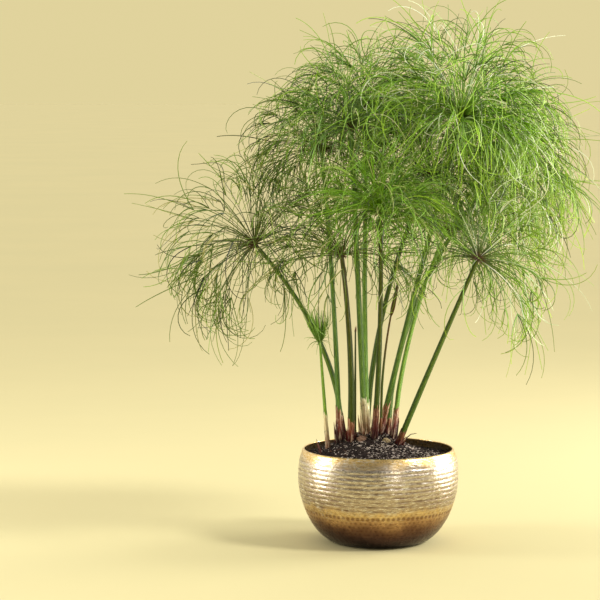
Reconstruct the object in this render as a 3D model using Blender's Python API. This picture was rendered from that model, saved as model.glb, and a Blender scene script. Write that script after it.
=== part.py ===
"""A potted papyrus plant: a wide hammered brass bowl filled with dark potting mix, from which eleven
three-cornered stems rise, each with a round mop of arching thread-like rays, and among them a short
young stem with a stiff brush, a thin stem with a closed bud, and the stub of an old cut stem.

The frame stands on the ground: the origin is the middle of the pot's flat foot, +Z is up, +X is the
plant's right as it is seen from the front, and the front is towards -Y. All lengths are in metres."""

import math
import random

import bmesh
import bpy
import numpy as np
from mathutils import Matrix, Vector

GAP = 0.0003
UP = Vector((0.0, 0.0, 1.0))

# The pot
FOOT_RADIUS = 0.074
WIDEST_RADIUS = 0.1405
MOUTH_RADIUS = 0.1315
WIDEST_HEIGHT = 0.112
POT_HEIGHT = 0.1645
POT_WALL = 0.0022
POT_FLOOR = 0.0030
HOLLOW_HEIGHTS = (0.0030, 0.020, 0.045, 0.075, 0.112, 0.135, 0.150)
LIP_STEP = 0.0012
BELLY_FULLNESS = 1.75
SHOULDER_TURN = 3.1
BELLY_STEPS = 7
BELLY_SPACING = 1.35
SHOULDER_STEPS = 4
SPOKES = 28

# The soil, which is heaped up round the clump of stems
SOIL_EDGE = 0.150
MOUND_RISE = 0.042
MOUND_CENTRE = Vector((-0.016, 0.0))
MOUND_REACH = Vector((0.128, 0.118))
SOIL_RINGS = (0.80, 0.54, 0.28)
LUMP_HEIGHT = 0.0022
LUMPS_ACROSS = 19.0
LUMPS_BACK = 16.34
EDGE_LUMPS = 0.3

# The stems are triangles with blunt corners, thickest at the foot
STEM_RADIUS = 0.0053
STEM_TAPER = 0.68
BLUNTNESS = math.radians(17.0)
STEM_DEPTH = 0.012
STRAIGHT_FOOT = 0.085
STEM_STATIONS = 4

# The basal sheaths wrap the feet of the stems
SHEATH_PLAY = 0.0006
SHEATH_THICKNESS = 0.0013
SHEATH_LOW_SIDE = 0.45
SHEATH_SLANT = 1.5
SOCKET_PLAY = 0.0007
SOCKET_RISE = 0.030

# The mop heads
HUB_RADIUS = 0.0062
HUB_FLAT = -0.55
RAY_RADIUS = 0.0014
RAY_COUNT = 24
RAY_LENGTH = 0.238
RAY_STATIONS = (0.20, 0.50, 0.78, 1.0)
RAY_STEPS = 40
LOWEST_RAY = math.radians(-42.0)
RAY_DROOP = 1.45
DROOP_START = 2.4
DROOP_CHANGE = 0.3
LENGTH_RANGE = (0.86, 1.06)
RAY_TAPER = (1.0, 0.85, 0.65, 0.3)
RAY_JITTER = 0.12
LEAST_LEAN = 0.28
CLEAR_OF_RAYS = 0.0034
TRIES = 16

# The brush of the young stem, and the closed bud
BRUSH_FOOT = 0.0036
BRUSH_FUNNEL = 0.028
BRUSH_LENGTH = 0.037
BRUSH_SPREAD = 0.55
BRUSH_BLADES = 9
BRUSH_ROOM = 0.0144
BRUSH_WIDENING = (1.7, 2.5)
BLADE_BEND = 0.55
BLADE_TAPER = (0.62, 0.2)
SHORTEST_BLADE = 0.62
BUD_SHARES = (0.25, 0.6, 1.0)
BUD_SWELLING = (1.7, 1.5, 0.3)
SHOOT_TAPER = (0.8, 0.2)
BUD_REACH = Vector((0.012, -0.002, 0.058))

# Each tall stem: its foot on the soil, the top that carries its head, the sideways bow in its middle,
# and the size of its head and its own thickness against the usual ones
TALL_STEMS = {
    "a": ((-0.062, 0.021), (-0.212, -0.050, 0.524), (0.034, 0.020), 0.96, 1.00),
    "b": ((-0.048, -0.024), (-0.063, -0.100, 0.508), (0.0065, 0.000), 0.90, 1.15),
    "c": ((-0.007, -0.030), (0.002, -0.120, 0.582), (0.005, 0.000), 0.86, 1.00),
    "d": ((0.035, -0.024), (0.168, -0.090, 0.502), (-0.001, 0.000), 0.94, 1.05),
    "e": ((-0.068, -0.010), (-0.102, 0.080, 0.681), (0.005, -0.010), 0.92, 0.95),
    "f": ((0.003, 0.017), (0.143, 0.012, 0.740), (-0.003, 0.000), 1.26, 1.05),
    "g": ((-0.0235, -0.010), (-0.048, -0.035, 0.722), (0.000, 0.000), 0.88, 1.10),
    "h": ((-0.0195, 0.014), (-0.020, 0.115, 0.758), (-0.005, -0.012), 0.86, 1.00),
    "i": ((-0.021, 0.039), (0.086, 0.030, 0.638), (-0.022, 0.010), 0.96, 1.00),
    "j": ((0.026, -0.003), (0.118, 0.100, 0.536), (-0.016, 0.000), 0.96, 0.90),
    "k": ((0.016, 0.041), (0.225, 0.135, 0.662), (-0.050, 0.006), 1.04, 1.00),
}

# Each short stem: its foot, its top, its bow and its thickness against a tall one
YOUNG_STEM = ((-0.088, -0.015), (-0.102, -0.030, 0.356), (0.000, 0.000), 0.62)
BUD_STEM = ((0.004, -0.006), (0.021, -0.036, 0.400), (-0.005, 0.000), 0.48)
CUT_STUB = ((-0.0405, 0.010), (-0.0405, 0.004, 0.370), (0.000, 0.000), 0.40)

# The sheath of each stem: its height above the soil, and the direction its point stands in
SHEATHS = {
    "a": (0.050, 80.0),
    "b": (0.044, 200.0),
    "c": (0.067, 100.0),
    "d": (0.030, 20.0),
    "e": (0.066, 160.0),
    "f": (0.060, 40.0),
    "g": (0.072, 290.0),
    "h": (0.056, 60.0),
    "i": (0.040, 120.0),
    "j": (0.062, 330.0),
    "k": (0.044, 60.0),
    "young": (0.072, 250.0),
    "bud": (0.030, 300.0),
}

# The ends of the rootstock that show on the mound, and the small pointed shoots
KNOBS = {
    "left": ((-0.028, -0.030), (0.0100, 0.0075, 0.0075)),
    "right": ((0.0135, -0.025), (0.0075, 0.0060, 0.0055)),
}
KNOB_SINK = 0.0005
KNOB_SWELLING = (0.90, 1.10)
SHOOTS = {
    "left": ((-0.100, -0.030), (-0.008, 0.002, 0.026), 0.0026),
    "middle": ((-0.058, 0.000), (-0.004, -0.001, 0.046), 0.0030),
}

# A dry twig that sticks out of the soil beside the clump, as points from its foot
TWIG_FOOT = (0.043, 0.004)
TWIG_REACHES = (Vector((0.006, 0.0, 0.009)), Vector((0.014, 0.0, 0.016)), Vector((0.024, -0.001, 0.018)))
TWIG_RADIUS = 0.0014
TWIG_TAPER = (1.0, 0.9, 0.7, 0.4)


def clear_scene():
    for item in list(bpy.data.objects):
        bpy.data.objects.remove(item, do_unlink=True)


def make_material(name, colour, roughness, metallic=0.0):
    made = bpy.data.materials.new(name)
    made.use_nodes = True
    shader = made.node_tree.nodes["Principled BSDF"]
    shader.inputs["Base Color"].default_value = (*colour, 1.0)
    shader.inputs["Roughness"].default_value = roughness
    shader.inputs["Metallic"].default_value = metallic
    return made


def make_object(name, bm, material, sharp=35.0):
    """The finished piece, shaded smooth but for edges sharper than the angle given."""
    bmesh.ops.recalc_face_normals(bm, faces=bm.faces[:])
    mesh = bpy.data.meshes.new(name)
    bm.to_mesh(mesh)
    bm.free()
    mesh.shade_smooth()
    mesh.set_sharp_from_angle(angle=math.radians(sharp))
    made = bpy.data.objects.new(name, mesh)
    made.data.materials.append(material)
    bpy.context.scene.collection.objects.link(made)
    return made


# The turned pieces

def pot_outside():
    """Radius and height down the outside, from the flat foot up to the rim."""
    points = []
    for step in range(BELLY_STEPS + 1):
        height = WIDEST_HEIGHT * (step / BELLY_STEPS) ** BELLY_SPACING
        below = 1.0 - height / WIDEST_HEIGHT
        swell = (1.0 - below**BELLY_FULLNESS) ** (1.0 / BELLY_FULLNESS)
        points.append((FOOT_RADIUS + (WIDEST_RADIUS - FOOT_RADIUS) * swell, height))
    for step in range(1, SHOULDER_STEPS + 1):
        share = step / SHOULDER_STEPS
        radius = WIDEST_RADIUS - (WIDEST_RADIUS - MOUTH_RADIUS) * share**SHOULDER_TURN
        points.append((radius, WIDEST_HEIGHT + (POT_HEIGHT - WIDEST_HEIGHT) * share))
    return points


def hollow_radius(height):
    """The radius of the hollow at a height, read between the points of the outside."""
    radii, heights = zip(*pot_outside())
    return float(np.interp(height, heights, radii)) - POT_WALL


def spin_outline(points):
    """A closed turned solid from radius and height points, which begin and end on the axis."""
    bm = bmesh.new()
    ring = [bm.verts.new((radius, 0.0, height)) for radius, height in points]
    for first, second in zip(ring, ring[1:]):
        bm.edges.new((first, second))
    bmesh.ops.spin(
        bm, geom=bm.verts[:] + bm.edges[:], cent=(0, 0, 0), axis=(0, 0, 1),
        angle=math.tau, steps=SPOKES, use_merge=True,
    )
    bmesh.ops.remove_doubles(bm, verts=bm.verts[:], dist=1e-6)
    return bm


def make_pot(brass):
    heights = (POT_HEIGHT - LIP_STEP, *reversed(HOLLOW_HEIGHTS))
    inside = [(hollow_radius(height), height) for height in heights]
    outline = [(0.0, 0.0), *pot_outside(), *inside, (0.0, POT_FLOOR)]
    return make_object("pot", spin_outline(outline), brass, sharp=50.0)


def soil_height(x, y):
    """The heaped surface of the soil, with small lumps."""
    from_middle = Vector(((x - MOUND_CENTRE.x) / MOUND_REACH.x, (y - MOUND_CENTRE.y) / MOUND_REACH.y))
    share = max(0.0, 1.0 - from_middle.length)
    heap = share * share * (3.0 - 2.0 * share)
    lumps = math.sin(x * LUMPS_ACROSS * math.tau) * math.cos(y * LUMPS_BACK * math.tau)
    return SOIL_EDGE + MOUND_RISE * heap + LUMP_HEIGHT * lumps * (EDGE_LUMPS + (1.0 - EDGE_LUMPS) * share)


def make_soil(mix):
    side = [(hollow_radius(height) - 2.0 * GAP, height) for height in HOLLOW_HEIGHTS]
    side[0] = (side[0][0], POT_FLOOR + GAP)
    top = [(side[-1][0] * share, SOIL_EDGE) for share in SOIL_RINGS]
    outline = [(0.0, POT_FLOOR + GAP), *side, *top, (0.0, SOIL_EDGE)]
    bm = spin_outline(outline)
    edge_radius = side[-1][0]
    for vert in bm.verts:
        radius = math.hypot(vert.co.x, vert.co.y)
        if vert.co.z > SOIL_EDGE - 1e-5 and radius < edge_radius - 1e-5:
            vert.co.z = soil_height(vert.co.x, vert.co.y)
    return make_object("soil", bm, mix)


# The pieces that grow along a path

def stem_path(foot, top, bow):
    """The centre line of a stem: straight in its sheath, then bowed on its way to the top."""
    base = Vector((foot[0], foot[1], soil_height(*foot)))
    rise = Vector(top) - base
    first = STRAIGHT_FOOT / rise.length
    path = [base]
    for step in range(STEM_STATIONS + 1):
        share = first + (1.0 - first) * step / STEM_STATIONS
        sideways = 4.0 * share * (1.0 - share)
        path.append(base + rise * share + Vector((bow[0], bow[1], 0.0)) * sideways)
    path[0] = base - (path[1] - base).normalized() * STEM_DEPTH
    return path


def section(centre, heading, radius):
    """The six corners of a blunt triangle, square to the heading."""
    across = Vector((1.0, 0.0, 0.0))
    across = (across - heading * across.dot(heading)).normalized()
    other = heading.cross(across)
    corners = []
    for corner in range(3):
        for side in (-1.0, 1.0):
            angle = math.tau * corner / 3.0 - math.pi / 2.0 + side * BLUNTNESS
            corners.append(centre + (across * math.cos(angle) + other * math.sin(angle)) * radius)
    return corners


def grow(bm, face, path, sizes):
    """Extrudes a face along a path, turning it to each new heading and giving it each new size."""
    heading = face.normal.copy()
    centre = face.calc_center_median()
    size = 1.0
    for index, (target, new_size) in enumerate(zip(path, sizes)):
        onward = path[min(index + 1, len(path) - 1)]
        new_heading = ((target - centre).normalized() + (onward - target).normalized()).normalized()
        turn = heading.rotation_difference(new_heading)
        face = bmesh.ops.extrude_discrete_faces(bm, faces=[face])["faces"][0]
        for vert in face.verts:
            vert.co = target + turn @ (vert.co - centre) * (new_size / size)
        heading, centre, size = new_heading, target.copy(), new_size
    return face


def grow_rod(path, radius, sizes):
    """A new closed rod with the stems' section, from one end of a path to the other."""
    bm = bmesh.new()
    heading = (path[1] - path[0]).normalized()
    corners = [bm.verts.new(corner) for corner in section(path[0], heading, radius)]
    base = bm.faces.new(corners)
    base.normal_update()
    tip = grow(bm, base, path[1:], sizes)
    bm.faces.new(list(reversed(corners)))
    return bm, tip


def make_stem(name, place, green):
    """place ends with the thickness of the stem against the usual one."""
    path = stem_path(*place[:3])
    sizes = [1.0 - (1.0 - STEM_TAPER) * step / STEM_STATIONS for step in range(STEM_STATIONS + 1)]
    bm, _ = grow_rod(path, STEM_RADIUS * place[-1], sizes)
    make_object(name, bm, green)
    return path


def make_spike(name, path, radius, sizes, material):
    """A rod that ends in a point."""
    bm, tip = grow_rod(path, radius, sizes)
    bmesh.ops.pointmerge(bm, verts=tip.verts[:], merge_co=path[-1])
    return make_object(name, bm, material)


def make_sheath(name, path, thickness, height, point_direction, material):
    """A papery tube round the foot of a stem, cut slanting so that one side stands up to a point."""
    heading = (path[1] - path[0]).normalized()
    inner = STEM_RADIUS * thickness + SHEATH_PLAY
    outer = inner + SHEATH_THICKNESS
    bm = bmesh.new()
    loops = []
    for radius, at_top in ((outer, False), (outer, True), (inner, True), (inner, False)):
        loop = []
        for corner in section(path[0], heading, radius):
            sideways = corner - path[0]
            turned = math.atan2(sideways.y, sideways.x) - math.radians(point_direction)
            share = SHEATH_LOW_SIDE + (1.0 - SHEATH_LOW_SIDE) * (0.5 + 0.5 * math.cos(turned)) ** SHEATH_SLANT
            lift = STEM_DEPTH + height * share if at_top else 0.0
            loop.append(bm.verts.new(corner + heading * lift))
        loops.append(loop)
    for first, second in zip(loops, loops[1:] + loops[:1]):
        for index in range(len(first)):
            after = (index + 1) % len(first)
            bm.faces.new((first[index], first[after], second[after], second[index]))
    return make_object(name, bm, material)


def make_young_brush(name, path, material):
    """The unopened mop of a young stem: a fluted funnel that ends in stiff upright blades."""
    top = path[-1]
    heading = (path[-1] - path[-2]).normalized()
    bm = bmesh.new()
    bmesh.ops.create_circle(bm, cap_ends=True, radius=BRUSH_FOOT, segments=BRUSH_BLADES)
    base = bm.faces[:][0]
    corners = base.verts[:]
    funnel = grow(bm, base, [UP * BRUSH_FUNNEL * 0.5, UP * BRUSH_FUNNEL], BRUSH_WIDENING)
    bm.faces.new(list(reversed(corners)))
    blades = bmesh.ops.poke(bm, faces=[funnel])["faces"]
    draw = random.Random(5)
    for blade in blades:
        centre = blade.calc_center_median()
        outward = Vector((centre.x, centre.y, 0.0)) * BRUSH_SPREAD
        tip = centre + outward + UP * BRUSH_LENGTH * draw.uniform(SHORTEST_BLADE, 1.0)
        end = grow(bm, blade, [centre.lerp(tip, BLADE_BEND), tip], BLADE_TAPER)
        bmesh.ops.pointmerge(bm, verts=end.verts[:], merge_co=tip)
    place = Matrix.Translation(top + heading * GAP) @ UP.rotation_difference(heading).to_matrix().to_4x4()
    bmesh.ops.transform(bm, matrix=place, verts=bm.verts[:])
    return make_object(name, bm, material)


# The mop heads

class ClearSpace:
    """Remembers every rod that stands in the crown, so that a new ray can be kept clear of them."""

    def __init__(self):
        self.starts = np.empty((0, 3))
        self.ends = np.empty((0, 3))
        self.radii = np.empty(0)
        self.owners = []

    def add(self, path, radius, owner):
        points = np.array([tuple(point) for point in path])
        self.starts = np.concatenate([self.starts, points[:-1]])
        self.ends = np.concatenate([self.ends, points[1:]])
        self.radii = np.concatenate([self.radii, np.full(len(points) - 1, radius)])
        self.owners += [owner] * (len(points) - 1)

    def room(self, first, second, without):
        """The smallest gap from one straight stretch to the surface of every rod but the owner's."""
        kept = np.array([owner != without for owner in self.owners], bool)
        starts, ends, radii = self.starts[kept], self.ends[kept], self.radii[kept]
        if not len(starts):
            return math.inf
        start = np.array(first)
        along = np.array(second) - start
        other = ends - starts
        apart = start - starts
        a, b, c = along @ along, other @ along, apart @ along
        e, f = (other * other).sum(axis=1), (other * apart).sum(axis=1)
        s = np.clip((b * f - c * e) / np.maximum(a * e - b * b, 1e-12), 0.0, 1.0)
        t = np.clip((b * s + f) / e, 0.0, 1.0)
        s = np.clip((b * t - c) / a, 0.0, 1.0)
        nearest = start + s[:, None] * along - starts - t[:, None] * other
        return float((np.linalg.norm(nearest, axis=1) - radii).min())


def ray_path(start, heading, length, droop):
    """A ray that leaves its hub straight, arches over, and hangs at its tip."""
    point, path = start.copy(), []
    for step in range(1, RAY_STEPS + 1):
        share = step / RAY_STEPS
        bent = (heading - UP * droop * share**DROOP_START).normalized()
        point = point + bent * (length / RAY_STEPS)
        if any(abs(share - station) < 0.5 / RAY_STEPS for station in RAY_STATIONS):
            path.append(point.copy())
    return path


def leaning(heading):
    """A heading that leans outwards enough for its ray to arch over."""
    level = Vector((heading.x, heading.y, 0.0))
    level *= max(1.0, LEAST_LEAN / level.length)
    return (level + UP * heading.z).normalized()


def hub_place(path):
    heading = (path[-1] - path[-2]).normalized()
    centre = path[-1] + heading * (GAP - HUB_FLAT * HUB_RADIUS)
    return centre, heading


def start_hub(path, spin):
    """The small round hub at the top of a stem, flat beneath where it meets the stem."""
    centre, heading = hub_place(path)
    bm = bmesh.new()
    bmesh.ops.create_icosphere(bm, subdivisions=2, radius=HUB_RADIUS)
    bmesh.ops.rotate(bm, verts=bm.verts[:], matrix=Matrix.Rotation(spin, 3, "Z"))
    for vert in bm.verts:
        vert.co.z = max(vert.co.z, HUB_FLAT * HUB_RADIUS)
    turn = UP.rotation_difference(heading).to_matrix().to_4x4()
    bmesh.ops.transform(bm, matrix=Matrix.Translation(centre) @ turn, verts=bm.verts[:])
    bm.normal_update()
    return bm, centre, heading


def make_head(name, path, size, space, seed, green):
    """One mop head: rays grown from the faces of its hub, each clear of all that already stands."""
    draw = random.Random(seed)
    bm, centre, heading = start_hub(path, draw.uniform(0.0, math.tau))
    lowest = math.sin(LOWEST_RAY)
    waiting = [face for face in bm.faces if face.normal.dot(heading) > lowest]
    draw.shuffle(waiting)
    chosen = []
    while waiting and len(chosen) < RAY_COUNT:
        waiting.sort(key=lambda face: max((face.normal.dot(other) for other in chosen), default=0.0))
        face = waiting.pop(0)
        start = face.calc_center_median()
        for _ in range(TRIES):
            jitter = Vector([draw.uniform(-RAY_JITTER, RAY_JITTER) for _ in range(3)])
            outward = leaning(face.normal + jitter)
            length = RAY_LENGTH * size * draw.uniform(*LENGTH_RANGE)
            droop = RAY_DROOP * draw.uniform(1.0 - DROOP_CHANGE, 1.0 + DROOP_CHANGE)
            route = ray_path(start, outward, length, droop)
            if ray_is_clear([start, *route], space, name):
                space.add([start, *route], RAY_RADIUS, name)
                chosen.append(face.normal.copy())
                grow_ray(bm, face, route)
                break
    make_object(name, bm, green)
    return len(chosen)


def ray_is_clear(route, space, owner):
    """Near its hub a ray may stand close to its own head's rays, and further out it may not."""
    for index, (first, second) in enumerate(zip(route, route[1:])):
        if space.room(first, second, owner if index == 0 else "") < CLEAR_OF_RAYS - RAY_RADIUS:
            return False
    return True


def grow_ray(bm, face, route):
    base_radius = (face.verts[0].co - face.calc_center_median()).length
    thick = RAY_RADIUS / base_radius
    end = grow(bm, face, route, [thick * share for share in RAY_TAPER])
    bmesh.ops.pointmerge(bm, verts=end.verts[:], merge_co=route[-1])


# The soil with its sockets

def make_cutter(name, bm, cutters):
    """A shape that is taken out of the soil: it isn't part of the plant."""
    made = make_object(name, bm, None)
    bpy.context.scene.collection.objects.unlink(made)
    cutters.objects.link(made)
    made.hide_render = True
    made.display_type = "WIRE"


def cut_socket(name, path, radius, cutters):
    heading = (path[1] - path[0]).normalized()
    ends = [path[0] - heading * GAP * 1.5, path[0] + heading * (STEM_DEPTH + SOCKET_RISE)]
    bm, _ = grow_rod(ends, radius, [1.0])
    make_cutter(name, bm, cutters)


def knob_shape(place, sizes, seed, play=0.0):
    """A lumpy end of the rootstock, half sunk in the soil."""
    bm = bmesh.new()
    bmesh.ops.create_icosphere(bm, subdivisions=2, radius=1.0)
    draw = random.Random(seed)
    middle = Vector((*place, soil_height(*place) - KNOB_SINK))
    for vert in bm.verts:
        swell = draw.uniform(*KNOB_SWELLING)
        vert.co = middle + Vector(axis * swell * (size + play) for axis, size in zip(vert.co, sizes))
    return bm


def main():
    clear_scene()
    brass = make_material("hammered_brass", (0.52, 0.38, 0.19), 0.34, 1.0)
    potting_mix = make_material("potting_mix", (0.020, 0.014, 0.012), 0.95)
    rootstock = make_material("rootstock_bark", (0.30, 0.13, 0.06), 0.8)
    stem_green = make_material("stem_green", (0.055, 0.135, 0.030), 0.42)
    bud_brown = make_material("bud_brown", (0.11, 0.055, 0.030), 0.6)
    sheath_red = make_material("sheath_red", (0.18, 0.040, 0.038), 0.6)
    sheath_cream = make_material("sheath_cream", (0.60, 0.47, 0.30), 0.7)
    ray_greens = {
        "shaded": make_material("ray_green_shaded", (0.090, 0.150, 0.025), 0.55),
        "middle": make_material("ray_green_middle", (0.120, 0.240, 0.028), 0.5),
        "bright": make_material("ray_green_bright", (0.220, 0.400, 0.045), 0.5),
    }
    head_greens = dict(zip("abcdefghijk", (
        "shaded", "shaded", "middle", "bright", "shaded", "bright", "middle", "middle", "middle",
        "middle", "bright",
    )))
    cream_sheaths = ("g", "h", "i", "young")

    make_pot(brass)
    soil = make_soil(potting_mix)
    cutters = bpy.data.collections.new("soil_cutters")
    bpy.context.scene.collection.children.link(cutters)

    paths, thicknesses = {}, {}
    short_stems = {"young": YOUNG_STEM, "bud": BUD_STEM, "stub": CUT_STUB}
    for letter, place in {**TALL_STEMS, **short_stems}.items():
        colour = bud_brown if letter == "bud" else stem_green
        thicknesses[letter] = place[-1]
        paths[letter] = make_stem(f"stem_{letter}", place, colour)

    for letter, (height, direction) in SHEATHS.items():
        papery = sheath_cream if letter in cream_sheaths else sheath_red
        make_sheath(f"sheath_{letter}", paths[letter], thicknesses[letter], height, direction, papery)
    for letter, path in paths.items():
        wrapped = SHEATH_PLAY + SHEATH_THICKNESS if letter in SHEATHS else 0.0
        radius = STEM_RADIUS * thicknesses[letter] + wrapped + SOCKET_PLAY
        cut_socket(f"socket_{letter}", path, radius, cutters)

    for seed, (side, (place, sizes)) in enumerate(KNOBS.items()):
        make_object(f"rootstock_{side}", knob_shape(place, sizes, seed), rootstock, sharp=60.0)
        make_cutter(f"hollow_{side}", knob_shape(place, sizes, seed, SOCKET_PLAY), cutters)
    for side, (place, lean, radius) in SHOOTS.items():
        ground = Vector((*place, soil_height(*place)))
        heading = Vector(lean).normalized()
        path = [ground - heading * STEM_DEPTH, ground + Vector(lean) * 0.5, ground + Vector(lean)]
        make_spike(f"shoot_{side}", path, radius, SHOOT_TAPER, sheath_red)
        cut_socket(f"socket_shoot_{side}", path, radius + SOCKET_PLAY, cutters)

    ground = Vector((*TWIG_FOOT, soil_height(*TWIG_FOOT)))
    twig_path = [ground - TWIG_REACHES[0], ground, *(ground + reach for reach in TWIG_REACHES)]
    make_spike("twig", twig_path, TWIG_RADIUS, TWIG_TAPER, rootstock)
    cut_socket("socket_twig", twig_path, TWIG_RADIUS + SOCKET_PLAY, cutters)

    sockets = soil.modifiers.new("sockets", "BOOLEAN")
    sockets.operation = "DIFFERENCE"
    sockets.operand_type = "COLLECTION"
    sockets.collection = cutters

    make_young_brush("young_brush", paths["young"], ray_greens["middle"])
    bud_heading = (paths["bud"][-1] - paths["bud"][-2]).normalized()
    bud_foot = paths["bud"][-1] + bud_heading * GAP
    bud_path = [bud_foot] + [bud_foot + BUD_REACH * share for share in BUD_SHARES]
    make_spike("bud", bud_path, STEM_RADIUS * BUD_STEM[3], BUD_SWELLING, bud_brown)

    space = ClearSpace()
    for letter, path in paths.items():
        space.add(path, STEM_RADIUS * thicknesses[letter], f"stem_{letter}")
    brush_top = paths["young"][-1] + UP * (BRUSH_FUNNEL + BRUSH_LENGTH)
    space.add([paths["young"][-1], brush_top], BRUSH_ROOM, "young_brush")
    space.add(bud_path, STEM_RADIUS, "bud")
    for letter in TALL_STEMS:
        centre, _ = hub_place(paths[letter])
        space.add([centre, centre + UP * 0.001], HUB_RADIUS, f"head_{letter}")
    for seed, (letter, place) in enumerate(TALL_STEMS.items()):
        green = ray_greens[head_greens[letter]]
        grown = make_head(f"head_{letter}", paths[letter], place[3], space, seed, green)
        print(f"head_{letter}: {grown} rays")


main()
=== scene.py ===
# %% [markdown]
# # A potted papyrus in a hammered brass bowl
# A papyrus sends up smooth, three-cornered stems from a creeping rootstock, and each stem ends in a
# round mop of thread-like rays. This lesson dresses a measured model of one such plant and its bowl.
# The measured solids are loaded first and never moved, so every finer piece has a place to sit on.

# %% Open the measured frame
import math

import bmesh
import bpy
import numpy as np
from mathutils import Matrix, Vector, noise


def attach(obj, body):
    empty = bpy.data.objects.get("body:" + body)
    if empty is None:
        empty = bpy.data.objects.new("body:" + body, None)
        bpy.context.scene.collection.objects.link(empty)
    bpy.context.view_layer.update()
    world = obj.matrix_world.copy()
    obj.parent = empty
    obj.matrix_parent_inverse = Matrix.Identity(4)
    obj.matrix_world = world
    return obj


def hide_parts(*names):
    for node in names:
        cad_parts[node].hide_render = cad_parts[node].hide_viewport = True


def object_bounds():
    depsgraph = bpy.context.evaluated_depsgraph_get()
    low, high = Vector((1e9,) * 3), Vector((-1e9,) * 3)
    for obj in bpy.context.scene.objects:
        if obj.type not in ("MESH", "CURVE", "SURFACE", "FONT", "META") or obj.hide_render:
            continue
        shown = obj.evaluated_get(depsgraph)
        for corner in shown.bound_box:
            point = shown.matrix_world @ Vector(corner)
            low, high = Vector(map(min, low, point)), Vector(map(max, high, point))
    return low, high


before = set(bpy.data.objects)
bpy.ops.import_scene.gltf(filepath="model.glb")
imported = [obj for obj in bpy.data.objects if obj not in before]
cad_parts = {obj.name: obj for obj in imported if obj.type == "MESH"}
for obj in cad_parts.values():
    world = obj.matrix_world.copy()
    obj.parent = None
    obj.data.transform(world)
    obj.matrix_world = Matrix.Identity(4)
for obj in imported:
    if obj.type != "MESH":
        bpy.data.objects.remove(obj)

cad_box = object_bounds()
print("solids:", len(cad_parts), "box:", [[round(v, 3) for v in corner] for corner in cad_box])

# %% [markdown]
# ## Small helpers for meshes
# Every piece here is a mesh written from arrays of points and faces. One helper makes the object, gives
# it its finish, ties it to the measured frame and stores named values on its points. Those values, such
# as how far along a ray a point lies, let a finish change along the piece without an unwrapped map.

# %% Make a piece
UP = np.array([0.0, 0.0, 1.0])


def unit(vectors):
    return vectors / np.linalg.norm(vectors, axis=-1, keepdims=True)


def make_piece(name, points, faces, finish, values, stands_for=None, sharp=60.0):
    """A new piece that rides on the frame. values holds what its points carry, or one number for all."""
    mesh = bpy.data.meshes.new(name)
    mesh.from_pydata(np.asarray(points).tolist(), [], faces)
    for value_name, value in values.items():
        kind, field = ("FLOAT_VECTOR", "vector") if np.ndim(value) == 2 else ("FLOAT", "value")
        each = np.array(value if np.ndim(value) else [value] * len(points), np.float32)
        mesh.attributes.new(value_name, kind, "POINT").data.foreach_set(field, each.ravel())
    mesh.validate()
    mesh.shade_smooth()
    mesh.set_sharp_from_angle(angle=math.radians(sharp))
    piece = bpy.data.objects.new(name, mesh)
    bpy.context.scene.collection.objects.link(piece)
    piece.data.materials.append(finish)
    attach(piece, "root")
    if stands_for:
        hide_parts(stands_for)
    return piece

# %% [markdown]
# A stem, a ray and a twig are all tubes round a line. This helper wraps many lines at once: it carries
# a pair of side directions along each line, so that the tube never twists, and sets a ring of corners
# at each station. A function of the angle can make the ring something other than round.

# %% Wrap tubes round lines
def closed_faces(count, rows, columns):
    """Walls and flat ends of tubes, whose points are numbered tube by tube and row by row."""
    index = np.arange(count * rows * columns).reshape(count, rows, columns)
    after = np.roll(index, -1, axis=2)
    walls = np.stack([index[:, :-1], after[:, :-1], after[:, 1:], index[:, 1:]], axis=-1)
    return walls.reshape(-1, 4).tolist() + index[:, -1].tolist() + index[:, 0, ::-1].tolist()


def tubes(lines, radii, sides=3, shape=None):
    """Points, faces, angle round and station of closed tubes. lines has the form tube, station, xyz."""
    form = *lines.shape[:2], sides
    heading = unit(np.gradient(lines, axis=1))
    across = np.empty_like(heading)
    across[:, 0] = np.array([1.0, 0.0, 0.0]) - heading[:, 0] * heading[:, 0, :1]
    steep = np.abs(heading[:, 0, 0]) > 0.95
    across[steep, 0] = np.cross(heading[steep, 0], UP)
    for station in range(1, form[1]):
        before, here = across[:, station - 1], heading[:, station]
        across[:, station] = before - here * (before * here).sum(axis=1, keepdims=True)
    across = unit(across)
    other = np.cross(heading, across)
    angles = np.arange(sides) * math.tau / sides
    outline = np.ones(sides) if shape is None else shape(angles)
    ring = across[:, :, None] * np.cos(angles)[:, None] + other[:, :, None] * np.sin(angles)[:, None]
    points = lines[:, :, None] + ring * (np.broadcast_to(radii, form[:2])[..., None] * outline)[..., None]
    around = np.broadcast_to(angles, form).ravel()
    station = np.broadcast_to(np.linspace(0.0, 1.0, form[1])[:, None], form).ravel()
    return points.reshape(-1, 3), closed_faces(*form), around, station


def join(*parts):
    """Several (points, faces, values) as one, so that they can be one mesh."""
    points, faces, values, first = [], [], {}, 0
    for part_points, part_faces, part_values in parts:
        points.append(part_points)
        faces += [[corner + first for corner in face] for face in part_faces]
        first += len(part_points)
        for name, value in part_values.items():
            values.setdefault(name, []).append(np.broadcast_to(value, (len(part_points),)))
    return np.concatenate(points), faces, {name: np.concatenate(v) for name, v in values.items()}

# %% [markdown]
# A ray of papyrus leaves its hub straight, then sags under its own weight and curls a little. Rather
# than drawing each one, the next helper walks along all of them in small steps. Only the part of the
# weight that is square to a line can bend it, so a ray that leans a little arches over smoothly.

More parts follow.
